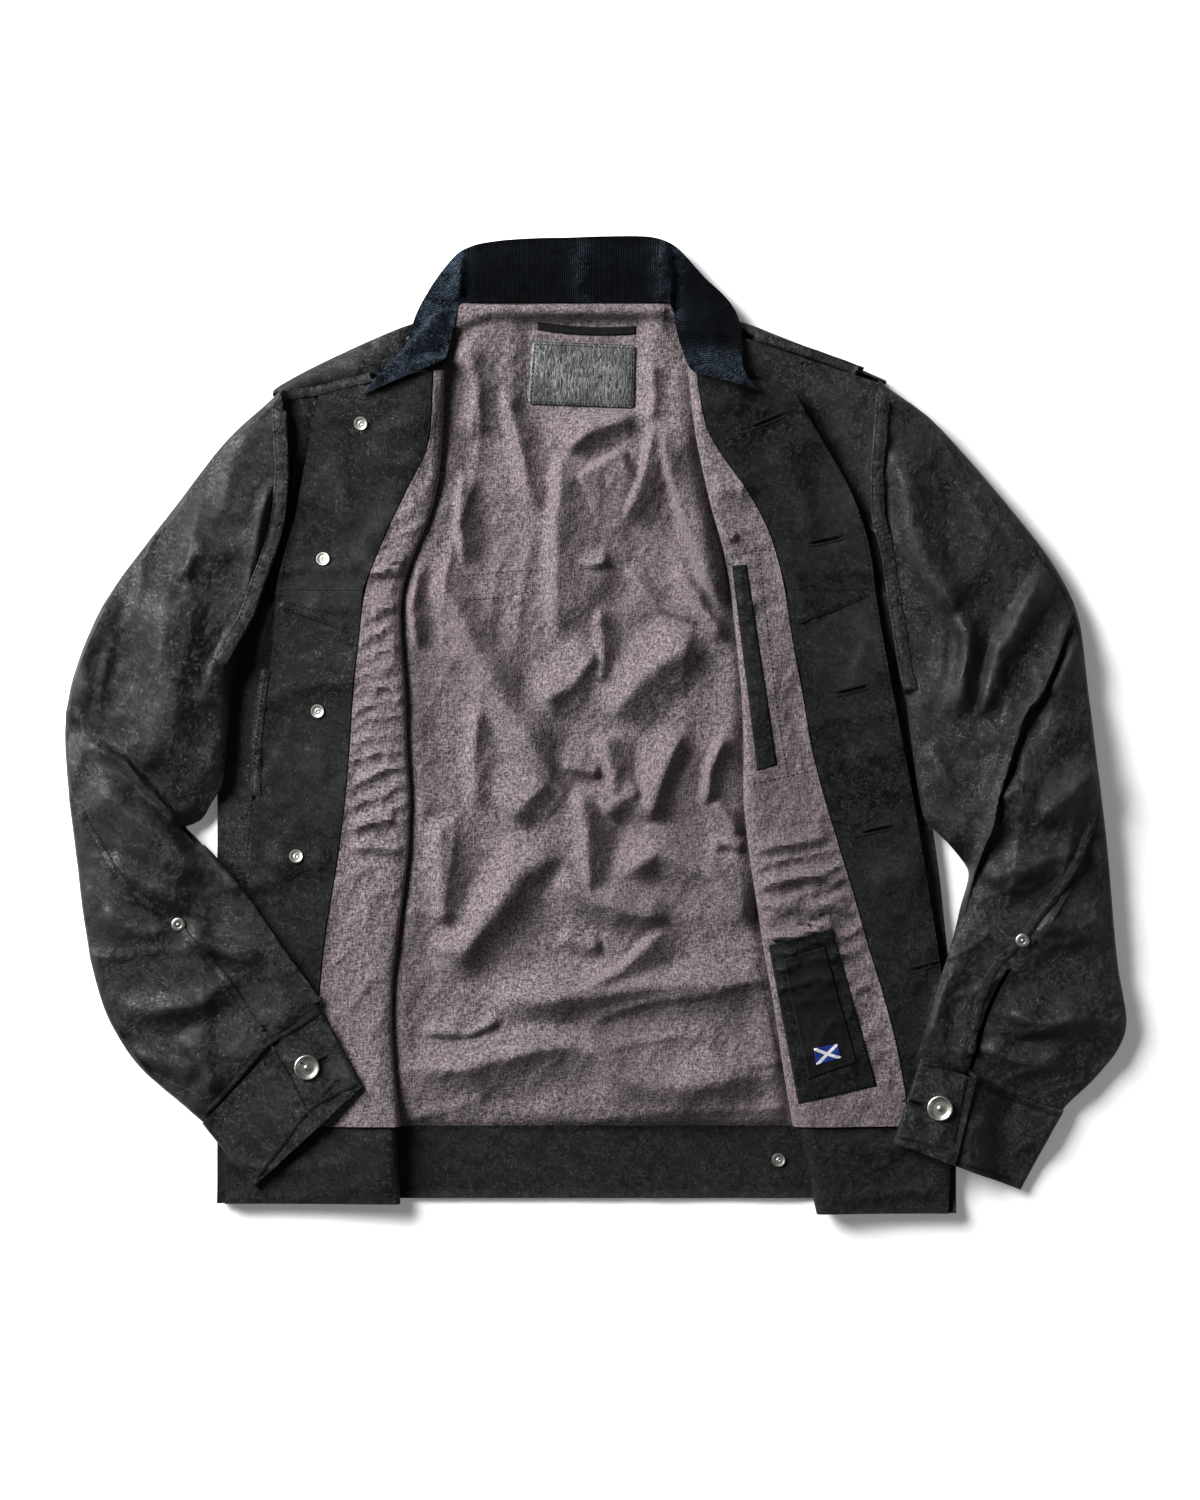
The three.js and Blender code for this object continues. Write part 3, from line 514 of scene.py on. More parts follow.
def mark(obj, name, values):
    """A number on each point, for the material to read."""
    kept = obj.data.attributes.new(name, "FLOAT", "POINT")
    kept.data.foreach_set("value", np.asarray(values, float))


# The armhole's line as (y, x), from its lower end up, and the way to the front
ARMHOLES = {
    "left": ((-60, -272), (36, -272), (240, -231), 1),
    "right": ((-84, 241), (36, 228), (246, 208), -1),
}
# The middle of each arm, from the shoulder to the wrist, as (x, y)
ARMS = {"left": ((-235, 215), (-315, 15), (-225, -250)), "right": ((215, 215), (310, 10), (285, -260))}
CUFF_SEAMS = {"left": ((-279, -277), (-196, -203)), "right": ((330, -278), (230, -239))}
# How far the sleeve's head goes under the front, its long edges lap outwards and up, and its end enters the
# cuff, in millimetres
UNDER_FRONT, LAP_OUT, LAP_UP, INTO_CUFF = 7.5, 2.6, 0.3, 4.5


def tucked(side, x, y):
    """The sleeve's head goes a little way under the front, where the armhole seam holds it."""
    *line, way = ARMHOLES[side]
    ys, xs = zip(*line)
    away = np.abs(x - np.interp(y, ys, xs))
    return x + way * UNDER_FRONT * smooth(1 - away / 28) * smooth((y - ys[0]) / 22)


def lapped(side, x, y, z):
    """The top sleeve's edge lies a little way over the under sleeve's, so that their seam is closed."""
    away, _, _, _, off_x, off_y = nearest_on(x, y, ARMS[side])
    return x + LAP_OUT * off_x / away, y + LAP_OUT * off_y / away, z + LAP_UP


def into_cuff(side, x, y, z):
    """The sleeve's end goes a little way into the cuff, and under its top layer."""
    a, b = (np.array(p, float) for p in CUFF_SEAMS[side])
    d = (b - a) / np.linalg.norm(b - a)
    down = np.array([d[1], -d[0]]) * (1 if d[0] > 0 else -1)
    share = smooth(1 - np.abs((x - a[0]) * down[0] + (y - a[1]) * down[1]) / 13)
    return x + down[0] * INTO_CUFF * share, y + down[1] * INTO_CUFF * share, z * (1 - 0.09 * share**2)


def crest_marks(x, y, z):
    """0 in a hollow and 1 where the lifted cloth stands out from what is round it."""
    ring = [(7 * math.cos(a), 7 * math.sin(a)) for a in np.linspace(0, 2 * np.pi, 7)[:-1]]
    round_it = sum(lift(x + dx, y + dy, z) for dx, dy in ring) / len(ring)
    return np.clip(0.5 + 0.4 * (lift(x, y, z) - round_it), 0, 1)


# Painted highlights (+), where the wax is painted pale as if lit, and painted shade (-), where the cloth is
# painted deep black:
# (middle x, middle y, half length, half width, turn in degrees, amount)
PAINTED_LIGHT_SPOTS = [
    (-199, 261, 26, 12, 25, 0.8), (-284, 150, 20, 18, 60, 0.7), (-236, 197, 22, 8, 80, 0.7),
    (-195, 102, 30, 13, 6, 0.9), (-156, 143, 20, 15, 70, 0.6), (-161, 211, 34, 26, 60, -0.9),
    (-263, 81, 25, 12, 65, 0.6), (-284, 56, 25, 14, 70, -0.8), (-180, 45, 30, 20, 85, -0.5),
    (-200, -40, 30, 18, 80, 0.5), (-205, -110, 28, 16, 80, -0.4),
    (171, 212, 25, 20, 60, 0.8), (201, 171, 25, 8, 90, 0.7), (137, 205, 28, 24, 30, -0.9),
    (169, 148, 26, 20, 60, 0.8), (178, 52, 34, 20, 80, 0.9), (189, -46, 28, 24, 80, -0.8),
    (205, -110, 30, 20, 75, 0.4), (249, 15, 16, 10, 80, 0.8), (287, 60, 36, 7, 68, 0.8),
    (263, 200, 26, 11, -45, 0.4), (297, 40, 36, 13, 68, -1.0), (331, -42, 22, 12, 25, 0.8),
    (329, 52, 26, 9, 65, 0.5), (221, 109, 42, 6, 97, -0.8), (300, -190, 26, 16, 20, -0.3),
]


# Painted light: each spot above adds painted highlight or painted shade, soft at its edges and uneven within.
def painted_light_marks(x, y):
    total = np.zeros(x.shape)
    for at_x, at_y, long, wide, turn, amount in PAINTED_LIGHT_SPOTS:
        along, across = turned(x - at_x, y - at_y, turn)
        total = total + amount * np.exp(-0.8 * ((along / long) ** 2 + (across / wide) ** 2))
    return np.clip(total * (0.6 + 0.8 * turned_noise(x, y, 22, 51)), -1, 1)


def net(node):
    """The node's mesh as merged points, in millimetres, and its triangles."""
    mesh = frame["nodes"][node].data
    mesh.calc_loop_triangles()
    points = np.array([v.co for v in mesh.vertices]) / MM
    unique, index = np.unique(np.round(points, 2), axis=0, return_inverse=True)
    index = index.ravel()
    triangles = [[index[v] for v in t.vertices] for t in mesh.loop_triangles]
    return unique, [t for t in triangles if len(set(t)) == 3]


def in_a_face(edge):
    """Whether an edge runs inside a face of the cut piece, and not along its rim."""
    return len(edge.link_faces) == 2 and edge.calc_face_angle() < 1.0


def cloth(node, coat, cell):
    """A node's piece as fine cloth whose cells are about cell millimetres."""
    points, triangles = net(node)
    obj = new_object(node + "_cloth", points, triangles, coat)
    work = bmesh.new()
    work.from_mesh(obj.data)
    bmesh.ops.recalc_face_normals(work, faces=work.faces)
    bmesh.ops.join_triangles(work, faces=work.faces, angle_face_threshold=3.1, angle_shape_threshold=3.1)
    size = np.mean([edge.calc_length() for edge in work.edges if in_a_face(edge)]) / MM
    level = int(np.clip(round(math.log2(size / cell)), 0, 4))
    for _ in range(3):
        long = [e for e in work.edges if e.calc_length() / MM > 1.7 * cell * 2**level]
        if long:
            bmesh.ops.subdivide_edges(work, edges=long, cuts=1, use_grid_fill=True)
    sharp = work.edges.layers.float.new("crease_edge")
    for edge in work.edges:
        if not in_a_face(edge):
            edge[sharp] = 1.0
    work.to_mesh(obj.data)
    work.free()
    if level:
        apply_modifier(obj, "SUBSURF", levels=level, render_levels=level)
    x, y, z = points_of(obj).T
    # The crest mark: the waxed material paints crests paler, partly as rubbed wear and partly as painted
    # highlight.
    mark(obj, "crest", crest_marks(x, y, z))
    # The painted light mark, fading out on the lowest layers: painted highlight above 0, painted shade below
    # 0.
    mark(obj, "painted_light", painted_light_marks(x, y) * smooth((z - 3) / 3))
    up = eased(z + lift(x, y, z), CLOTH_EASED, CLOTH_ROOM)
    if "sleeve" in node:
        side = node.rsplit("_")[-1]
        if node.startswith("top"):
            x, y, up = lapped(side, x, y, up)
        x = tucked(side, x, y)
        x, y, up = into_cuff(side, x, y, up)
    move_to(obj, np.stack([x, y, up], 1))
    shade_smooth(obj)
    pick(obj)
    bpy.ops.object.shade_smooth_by_angle(angle=math.radians(50))
    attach(obj, "root")
    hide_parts(node)
    return obj


slots = {row["node"]: row["material_slot"] for row in frame["record"]["subparts"]}
print("slots:", sorted(set(slots.values())))

# %% [markdown]
# ## Colours and surfaces
# Waxed cotton is nearly black, with a soft sheen, and turns grey where its crests have rubbed; that grey is
# partly a painted highlight, and marked spots carry painted highlights and painted shade. The lining is woven
# from pale and dark yarns, so it looks like salt and pepper close up.

# %% A short way to write a material
class Paint:
    """A material whose nodes are added one at a time. Its coordinates are the object's own, in metres."""

    def __init__(self, name):
        self.material = bpy.data.materials.new(name)
        self.material.use_nodes = True
        self.nodes, self.links = self.material.node_tree.nodes, self.material.node_tree.links
        self.shader = self.nodes["Principled BSDF"]
        self.place = self.nodes.new("ShaderNodeTexCoord").outputs["Object"]

    def add(self, kind, settings=None, out=0, **inputs):
        node = self.nodes.new("ShaderNode" + kind)
        for key, value in (settings or {}).items():
            setattr(node, key, value)
        for key, value in inputs.items():
            slot = node.inputs[int(key[1:])] if key[0] == "_" else node.inputs[key.replace("_", " ")]
            self.give(slot, value)
        return node.outputs[out]

    def give(self, slot, value):
        if isinstance(value, bpy.types.NodeSocket):
            self.links.new(value, slot)
        else:
            slot.default_value = value

    def set(self, **inputs):
        for key, value in inputs.items():
            self.give(self.shader.inputs[key.replace("_", " ")], value)

    def stretched(self, x, y, z=1.0, turn=0.0):
        return self.add("Mapping", Vector=self.place, Scale=(x, y, z), Rotation=(0, 0, turn))

    def grain(self, scale, detail=2.0, place=None, rough=0.5, twist=0.0):
        place = self.place if place is None else place
        return self.add(
            "TexNoise", Vector=place, Scale=scale, Detail=detail, Roughness=rough, Distortion=twist
        )

    def span(self, value, low, high, to_low=0.0, to_high=1.0):
        return self.add("MapRange", Value=value, From_Min=low, From_Max=high, To_Min=to_low, To_Max=to_high)

    def sums(self, operation, a, b):
        return self.add("Math", {"operation": operation}, _0=a, _1=b)

    def times(self, a, b):
        return self.sums("MULTIPLY", a, b)

    def mix(self, share, dark, light, blend="MIX"):
        node = self.nodes.new("ShaderNodeMix")
        node.data_type, node.blend_type = "RGBA", blend
        self.give(node.inputs[0], share)
        for slot, value in ((node.inputs[6], dark), (node.inputs[7], light)):
            self.give(slot, value if isinstance(value, bpy.types.NodeSocket) else (*value, 1))
        return node.outputs[2]

    def mark(self, name):
        return self.add("Attribute", {"attribute_name": name}, out="Fac")

    def bumps(self, *layers):
        """Each layer is a height from 0 to 1 and its size in metres."""
        normal = None
        for height, size in layers:
            node = self.nodes.new("ShaderNodeBump")
            node.inputs["Distance"].default_value = size
            self.links.new(height, node.inputs["Height"])
            if normal is not None:
                self.links.new(normal, node.inputs["Normal"])
            normal = node.outputs["Normal"]
        self.links.new(normal, self.shader.inputs["Normal"])


def waxed(name, dark, light, wear_and_highlight, roughness, wear_and_highlight_share, shine):
    """Waxed cotton: cloudy and scuffed, its crests paler with wear and painted highlight, plus painted light
    spots.
    """
    p = Paint(name)
    cloudy = p.span(p.grain(17, 5, twist=0.6), 0.35, 0.68)
    scuffs = p.span(p.grain(95, 6, rough=0.65), 0.46, 0.72)
    colour = p.mix(cloudy, dark, light)
    # Crests paler: partly rubbed wear, partly painted highlight.
    rubbed_and_lit = p.times(p.span(p.mark("crest"), 0.5, 0.95), wear_and_highlight_share)
    colour = p.mix(p.times(rubbed_and_lit, p.span(scuffs, 0, 1, 0.35, 1.0)), colour, wear_and_highlight)
    colour = p.mix(p.times(p.times(scuffs, cloudy), wear_and_highlight_share * 0.55), colour, wear_and_highlight)
    # Painted light: highlight towards the pale colour above 0, shade towards near-black below 0; it also sets
    # the roughness.
    painted_light = p.mark("painted_light")
    colour = p.mix(p.times(p.span(painted_light, 0, 1), p.span(scuffs, 0, 1, 0.35, 0.8)), colour, wear_and_highlight)
    colour = p.mix(p.span(painted_light, -1, 0, 0.85, 0.0), colour, (0.0007, 0.0008, 0.0009))
    colour = p.mix(p.span(p.grain(1500, 1), 0.3, 0.7, 0.0, 0.3), colour, dark)
    warp = p.add("TexNoise", Vector=p.place, Scale=40.0, Detail=3.0, out=1)
    warped = p.add("VectorMath", {"operation": "ADD"}, _0=p.place, _1=warp)
    crinkle = p.add("TexVoronoi", {"feature": "DISTANCE_TO_EDGE"}, Vector=warped, Scale=55.0, Randomness=1.0)
    across, along = (
        p.add("TexWave", {"bands_direction": way}, Vector=p.place, Scale=420.0, Distortion=1.0)
        for way in "XY"
    )
    rough = p.span(p.grain(60, 4), 0.3, 0.7, roughness - 0.07, roughness + 0.09)
    rough = p.sums("ADD", rough, p.span(painted_light, -1, 1, -0.2, 0.16))
    p.set(Base_Color=colour, Roughness=rough, Specular_IOR_Level=shine)
    p.bumps(
        (p.grain(42, 3, rough=0.5, twist=0.8), 0.0011), (p.span(crinkle, 0, 0.16), 0.00016),
        (p.grain(210, 4, rough=0.6), 0.0004), (p.grain(900, 2), 0.00014), (p.times(across, along), 0.00006),
    )
    return p.material


def chambray(name, shade):
    """Pale and dark yarns woven across each other, all darkened by the same shade."""
    p = Paint(name)
    warp = p.grain(1.0, 2, p.stretched(900, 260, 700), 0.6)
    weft = p.grain(1.0, 2, p.stretched(260, 900, 700), 0.6)
    yarn = p.span(p.sums("ADD", warp, weft), 0.84, 1.16)
    speck = p.span(p.grain(1.0, 2, p.stretched(620, 540, 700), 0.7), 0.36, 0.64)
    share = p.sums("ADD", p.times(yarn, 0.55), p.times(speck, 0.45))
    yarns = ((0.052, 0.043, 0.046), (0.43, 0.366, 0.378), (0.20, 0.155, 0.165))
    dark, light, dull = (tuple(value * shade for value in yarn) for yarn in yarns)
    colour = p.mix(share, dark, light)
    colour = p.mix(p.span(p.grain(9, 3), 0.4, 0.65, 0.0, 0.3), colour, dull)
    p.set(Base_Color=colour, Roughness=0.9, Specular_IOR_Level=0.18, Sheen_Weight=0.15, Sheen_Roughness=0.5)
    p.bumps((p.grain(45, 4, rough=0.55, twist=0.8), 0.0022), (p.grain(130, 3), 0.0008), (yarn, 0.00022))
    return p.material


CORD_PITCH = 1.6


def wale_cloth():
    """Corduroy: the mark called wale counts its cords, and the mark called pale tells where painted sheen
    lightens it.
    """
    p = Paint("corduroy")
    cords = p.add("Math", {"operation": "SINE"}, _0=p.times(p.mark("wale"), 2 * math.pi / CORD_PITCH))
    cords = p.span(cords, -1, 1)
    patch = p.span(p.grain(120, 5, rough=0.7), 0.36, 0.66)
    pale = p.mark("pale")
    # Paler cord tops in random patches, much stronger where the pale mark is: painted highlight on the cords.
    wear_and_highlight = p.times(p.times(cords, patch), p.span(pale, 0, 1, 0.1, 1.0))
    colour = p.mix(wear_and_highlight, (0.0012, 0.0015, 0.0023), (0.056, 0.078, 0.108))
    # Pale specks on the nap where the pale mark is: painted sheen.
    sheen_specks = p.times(p.span(p.grain(700, 2), 0.52, 0.75), p.span(pale, 0, 1, 0.02, 0.6))
    colour = p.mix(sheen_specks, colour, (0.115, 0.148, 0.190))
    p.set(Base_Color=colour, Roughness=0.95, Specular_IOR_Level=0.1)
    p.set(Sheen_Weight=0.04, Sheen_Roughness=0.5, Sheen_Tint=(0.35, 0.5, 0.7, 1))
    p.bumps((p.grain(70, 3), 0.0012), (cords, 0.0004), (p.grain(1400, 2), 0.0002))
    return p.material


def hide():
    """Leather: dark, with long wrinkles rubbed pale and painted with glossy highlights."""
    p = Paint("leather")
    wrinkle = p.grain(1.0, 4, p.stretched(900, 210, 300, 0.06), 0.55, 0.9)
    pores = p.grain(1900, 2)
    # The wrinkle ridges paled: partly rubbed wear, partly painted gloss highlight.
    wear_and_highlight = p.times(p.span(wrinkle, 0.42, 0.66), p.span(p.grain(38, 2), 0.36, 0.6, 0.25, 1.0))
    colour = p.mix(wear_and_highlight, (0.010, 0.0105, 0.0105), (0.220, 0.228, 0.228))
    p.set(Base_Color=colour, Roughness=p.span(p.grain(90, 3), 0.3, 0.7, 0.38, 0.5), Specular_IOR_Level=0.8)
    p.bumps((wrinkle, 0.00045), (pores, 0.00005))
    return p.material


def tape(name, colour, shine=0.25):
    """Woven tape: fine ribs across."""
    p = Paint(name)
    ribs = p.add("TexWave", {"bands_direction": "Y"}, Vector=p.place, Scale=380.0, Distortion=0.6)
    dark, light = (tuple(value * share for value in colour) for share in (0.6, 1.5))
    colour = p.mix(p.span(p.grain(300, 3), 0.3, 0.7), dark, light)
    p.set(Base_Color=colour, Roughness=0.75, Specular_IOR_Level=shine)
    p.bumps((ribs, 0.00012), (p.grain(60, 3), 0.0008))
    return p.material


def plated():
    """Satin nickel, tarnished in spots."""
    p = Paint("nickel")
    tarnish = p.span(p.grain(420, 5), 0.35, 0.7)
    colour = p.mix(tarnish, (0.56, 0.545, 0.51), (0.26, 0.25, 0.235))
    p.set(Metallic=1.0, Base_Color=colour, Roughness=p.span(tarnish, 0, 1, 0.42, 0.58))
    p.bumps((p.grain(900, 3), 0.00003))
    return p.material


# Each waxed cotton's dark and light colours, its pale colour for wear and painted highlight, its roughness,
# how far its crests and scuffs pale, and its shine
WAXED = waxed(
    "waxed_cotton", (0.0030, 0.0035, 0.0037), (0.0070, 0.0082, 0.0085), (0.050, 0.056, 0.057), 0.46, 0.5, 0.55
)
FACING = waxed(
    "cotton_facing", (0.0020, 0.0023, 0.0027), (0.0050, 0.0055, 0.0060), (0.056, 0.060, 0.062),
    0.53, 0.14, 0.34,
)
HEM = waxed(
    "hem_cotton", (0.0042, 0.0047, 0.0052), (0.0088, 0.0095, 0.0100), (0.036, 0.039, 0.040), 0.52, 0.3, 0.4
)
LINING = chambray("lining", 0.66)
CORD = wale_cloth()
LEATHER = hide()
WOVEN = tape("woven_tape", (0.007, 0.007, 0.008))
THREAD = tape("thread", (0.011, 0.012, 0.012), 0.3)
PALE_THREAD = tape("pale_thread", (0.045, 0.040, 0.041))
NICKEL = plated()
coats = {"waxed_cotton": WAXED, "cotton_facing": FACING, "lining": LINING, "corduroy": CORD}
print("materials:", len(bpy.data.materials))

# %% [markdown]
# ## The shell, facings, sleeves and collar
# On the real jacket each is cut flat from its own cloth and sewn. Here each becomes fine cloth on its node.
# What shows from above gets fine cells, and what lies under other layers gets coarse ones.

# %% The cut pieces
HIDDEN, SHOWN = 9.0 * 0.6, 3.0
ON_EACH_SIDE = {
    "front_panel": HIDDEN, "front_yoke": HIDDEN, "hem_band": SHOWN, "front_lining": 2.4,
    "facing_upper": SHOWN, "facing_lower": SHOWN, "under_sleeve": SHOWN, "top_sleeve": SHOWN, "cuff": SHOWN,
}
cells = {"back_panel": 14.0, "back_yoke": 6.0, "hem_band_back": SHOWN}
cells.update({f"{name}_{side}": cell for side in SIDES for name, cell in ON_EACH_SIDE.items()})
cells["collar"] = 2.2
shell = {}
for node, cell in cells.items():
    shell[node] = cloth(node, HEM if node.startswith("hem") else coats[slots[node]], cell)


def triangles(obj):
    return sum(len(p.vertices) - 2 for p in obj.data.polygons)


print({name: triangles(obj) for name, obj in shell.items()})

# %% [markdown]
# ## The back lining
# The largest piece of lining: a sheet a little larger than the back, so that it never strains, which is why
# it lies in so many creases. Its net is finest where it shows, and takes its form from its own node.

# %% The back lining's sheet
ABOVE_ALL, DOWN = 90.0, Vector((0, 0, -1))
ROW_STEP, HIT_STEP, NECK_STEP = 2.1, 2.0, 1.5
LOWEST, BY_FOLD_RISE, LINING_THICK = 3.0, 4.2, 0.8


def tree_of(points, faces):
    return BVHTree.FromPolygons([Vector(p) for p in points], faces)


def seen_tree(objects):
    points, faces = [], []
    for obj in objects:
        start = len(points)
        points.extend(points_of(obj))
        faces.extend([start + v for v in p.vertices] for p in obj.data.polygons)
    return tree_of(points, faces)


def height_on(tree, x, y):
    hit = tree.ray_cast(Vector((x, y, ABOVE_ALL)), DOWN)[0]
    return None if hit is None else hit.z


def evened(row, reach):
    """A moving mean over so many neighbours on each side."""
    window = 2 * reach + 1
    return np.convolve(np.pad(row, reach, mode="edge"), np.ones(window) / window, mode="valid")


base = tree_of(*net("back_lining"))
low, high = (np.array(c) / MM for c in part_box("back_lining"))
ys = np.arange(low[1] - 3.0, high[1] + 12.0, ROW_STEP)
edges = []
kept = np.clip(ys, low[1] + 0.7, high[1] - 9)
for y in kept:
    hits = [x for x in np.arange(low[0] - 1, high[0] + 1, HIT_STEP) if height_on(base, x, y) is not None]
    edges.append((hits[0] + 0.4, hits[-1] - 0.4))
edges = np.array(edges)
for k in (0, 1):
    edges[:, k] = evened(edges[:, k], 4)
# Columns are close where the lining shows and wide where the fronts hide it
COLUMNS = np.concatenate(
    [np.linspace(0, 0.2, 9)[:-1], np.linspace(0.2, 0.82, 157), np.linspace(0.82, 1, 9)[1:]]
)
X = edges[:, :1] + (edges[:, 1:] - edges[:, :1]) * COLUMNS
Y = np.repeat(ys[:, None], len(COLUMNS), 1)
Z = np.full(X.shape, np.nan)
for index in np.ndindex(X.shape):
    found = height_on(base, X[index], max(Y[index], kept[0]))
    Z[index] = np.nan if found is None else found
for _ in range(6):
    gap = np.isnan(Z)
    if gap.any():
        around = np.stack([np.roll(Z, s, a) for a in (0, 1) for s in (-1, 1)])
        known = (~np.isnan(around)).sum(0)
        fill = np.nansum(around, 0) / np.maximum(known, 1)
        Z[gap & (known > 0)] = fill[gap & (known > 0)]
Z = np.nan_to_num(Z, nan=2.0)
Z = np.maximum(softened(Z, 2), LOWEST)
Z = Z + lift(X, Y, Z) + BY_FOLD_RISE * smooth((sample(by_fold, X, Y) - 0.04) / 0.42)
yoke = seen_tree([shell["back_yoke"]])
# The neck's edge is held on the yoke's highest line, the hem's edge low, and the top edge under the collar
tries = np.arange(276.0, 301.0, NECK_STEP)
neck_y, neck_z = np.empty(X.shape[1]), np.empty(X.shape[1])
for k, x in enumerate(X[-1]):
    heights = [height_on(yoke, x, y) or 0.0 for y in tries]
    neck_y[k], neck_z[k] = tries[int(np.argmax(heights))], max(heights)
neck_y, neck_z = evened(neck_y, 3), evened(neck_z, 3)
at_neck, at_hem = smooth((Y - neck_y + 8) / 6.5), smooth((low[1] + 2.0 - Y) / 4)
Z = Z + (np.maximum(neck_z, 7.0) + 1.3 - Z) * at_neck
Z = Z + (2.2 - Z) * at_hem
Z = Z + (np.minimum(Z, 9.3) - Z) * smooth((Y - 297.2) / 2.8)


def sheet_faces(shape):
    rows, columns = shape
    at = np.arange(rows * columns).reshape(rows, columns)
    quads = np.stack([at[:-1, :-1], at[:-1, 1:], at[1:, 1:], at[1:, :-1]], -1)
    return quads.reshape(-1, 4).tolist()


def on_grid(X, Y, Z):
    return np.stack([X.ravel(), Y.ravel(), Z.ravel()], 1)


lining = new_object("back_lining_cloth", on_grid(X, Y, Z), sheet_faces(X.shape), LINING)
shade_smooth(lining)
apply_modifier(lining, "SOLIDIFY", thickness=LINING_THICK * MM, offset=-1.0)
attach(lining, "root")
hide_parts("back_lining")
shell["back_lining"] = lining
print("lining:", X.shape, "triangles", triangles(lining), "up to", round(float(Z.max()), 1), "mm")

# %% [markdown]
# ## Finding the surface
# Stitches, labels and buttons lie on cloth that is already creased, so each is set on the height found there.

# %% The top of what is laid
top = seen_tree(shell.values())


def surface(x, y, tree=None):
    """Point and upward normal of the top cloth."""
    hit, normal, *_ = (tree or top).ray_cast(Vector((x, y, ABOVE_ALL)), DOWN)
    if hit is None:
        return None, None
    return hit, normal if normal.z > 0 else -normal


# %% [markdown]
# ## The collar's cords
# Corduroy's cords run from the neck seam out to the collar's edge, so a number that grows along the neck
# seam tells the material where each cord is.

# %% Marks on the collar
NECK_LINE = (
    (-142, 246), (-128, 262), (-117, 280), (-112, 298), (-104, 314), (-90, 325), (-56, 326), (-20, 326),
    (16, 326), (44, 325), (58, 318), (70, 305), (78, 290), (80, 272), (83, 256), (92, 243),
)
cx, cy, _ = points_of(shell["collar"]).T
_, _, along, neck_length, _, _ = nearest_on(cx, cy, NECK_LINE)
mark(shell["collar"], "wale", along)
# The pale mark: painted sheen on the left and right leaves, the right leaf's rim and two fold lines, where
# the nap catches the light.
left_leaf = smooth((-84 - cx) / 16)
right_leaf = smooth((cx - 54) / 10) * smooth((274 - cy) / 14)
rim = np.exp(-(((cx - 57) / 5) ** 2)) * smooth((cy - 278) / 8)
fold_line = 0.35 * np.exp(-(((cx + 10) / 7) ** 2)) + 0.4 * np.exp(-(((cx - 44) / 6) ** 2))
mark(shell["collar"], "pale", np.clip(left_leaf + right_leaf + 0.7 * rim + fold_line * (cy > 300), 0, 1))
print("collar length along the neck:", round(float(neck_length)), "mm")

# %% [markdown]
# ## Lapped seams
# The jacket's main seams are felled: one edge folds over the other and both are sewn down, which leaves a
# narrow raised band, puckered where the stitching pulls it.

# %% Where the seams and stitching run, in millimetres
# (width, puckers, points along the seam...)
SEAMS = {
    "shoulder_left": (7.0, 0.6, (-226, 233), (-212, 236), (-196, 238), (-176, 243), (-156, 247)),
    "armhole_left": (
        10.5, 0.9, (-225, 227), (-224, 202), (-223, 179), (-226, 147), (-232, 124), (-240, 102),
        (-248, 79), (-260, 56), (-268, 42),
    ),
    "yoke_left": (5.0, 0.4, (-233, 124), (-226, 120)),
    "facing_yoke_left": (7.0, 0.6, (-227, 86), (-208, 81), (-189, 74), (-171, 67)),
    "side_left": (7.0, 0.9, (-235, 44), (-238, 18), (-241, -11), (-242, -54)),
    "sleeve_left": (
        6.0, 0.6, (-366, -58), (-356, -77), (-333, -111), (-303, -137), (-283, -156), (-262, -182),
        (-242, -211), (-235, -219),
    ),
    "cuff_left": (3.4, 0.4, (-279, -277), (-257, -253), (-235, -228), (-215, -215), (-196, -203)),
    "shoulder_right": (7.0, 0.5, (110, 278), (142, 268), (168, 259), (189, 251)),
    "armhole_right": (
        10.0, 0.9, (203, 233), (201, 205), (199, 178), (200, 150), (207, 120), (212, 86), (219, 42),
        (224, 22),
    ),
    "yoke_right": (6.0, 0.5, (191, 149), (199, 139), (205, 131)),
    "facing_yoke_right": (7.0, 0.6, (140, 74), (167, 84), (195, 96)),
    "sleeve_right": (
        6.0, 0.6, (352, -68), (343, -88), (330, -112), (300, -151), (282, -172), (271, -196), (264, -236),
    ),
    "cuff_right": (3.4, 0.4, (230, -239), (248, -242), (264, -246), (277, -256), (304, -268), (330, -278)),
}
# Single rows of stitching: the points of each. Those with front in the name have no raised band under them.
ROWS = {
    "underarm_left": ((-341, -213), (-331, -228), (-316, -246), (-294, -257), (-276, -267)),
    "cuff_edge_left": ((-168, -253), (-186, -262), (-203, -272), (-223, -298), (-242, -322)),
    "cuff_lap_left": ((-231, -225), (-217, -248), (-205, -272)),
    "cuff_edge_right": ((212, -291), (232, -296), (252, -300)),
    "cuff_lap_right": ((262, -246), (257, -273), (252, -298)),
    "cuff_hem_right": ((260, -311), (281, -318), (301, -326)),
    "front_edge_left": ((-211, 171), (-221, 118), (-226, 87)),
    "front_edge_left_low": ((-230, 66), (-240, 4), (-249, -89)),
    "front_edge_right": ((159, 215), (175, 183), (187, 146), (195, 100)),
    "front_edge_right_low": ((197, 88), (208, 18), (214, -19), (235, -72)),
    "front_neck_left": ((-196, 238), (-180, 234), (-162, 231)),
}
PALE_ROWS = {
    "yoke_lining_high": ((-96, 106), (-69, 109), (-35, 111)),
    "yoke_lining_low": ((-92, 89), (-69, 91), (-45, 96)),
    "welt_high": ((91, 118), (101, 121), (115, 124), (131, 124)),
    "welt_outer": ((115, 123), (122, 61), (128, 11), (136, -36)),
    "welt_low": ((111, -41), (124, -39), (136, -36), (155, -32)),
    "patch_side": ((114, -169), (125, -218), (137, -268)),
}
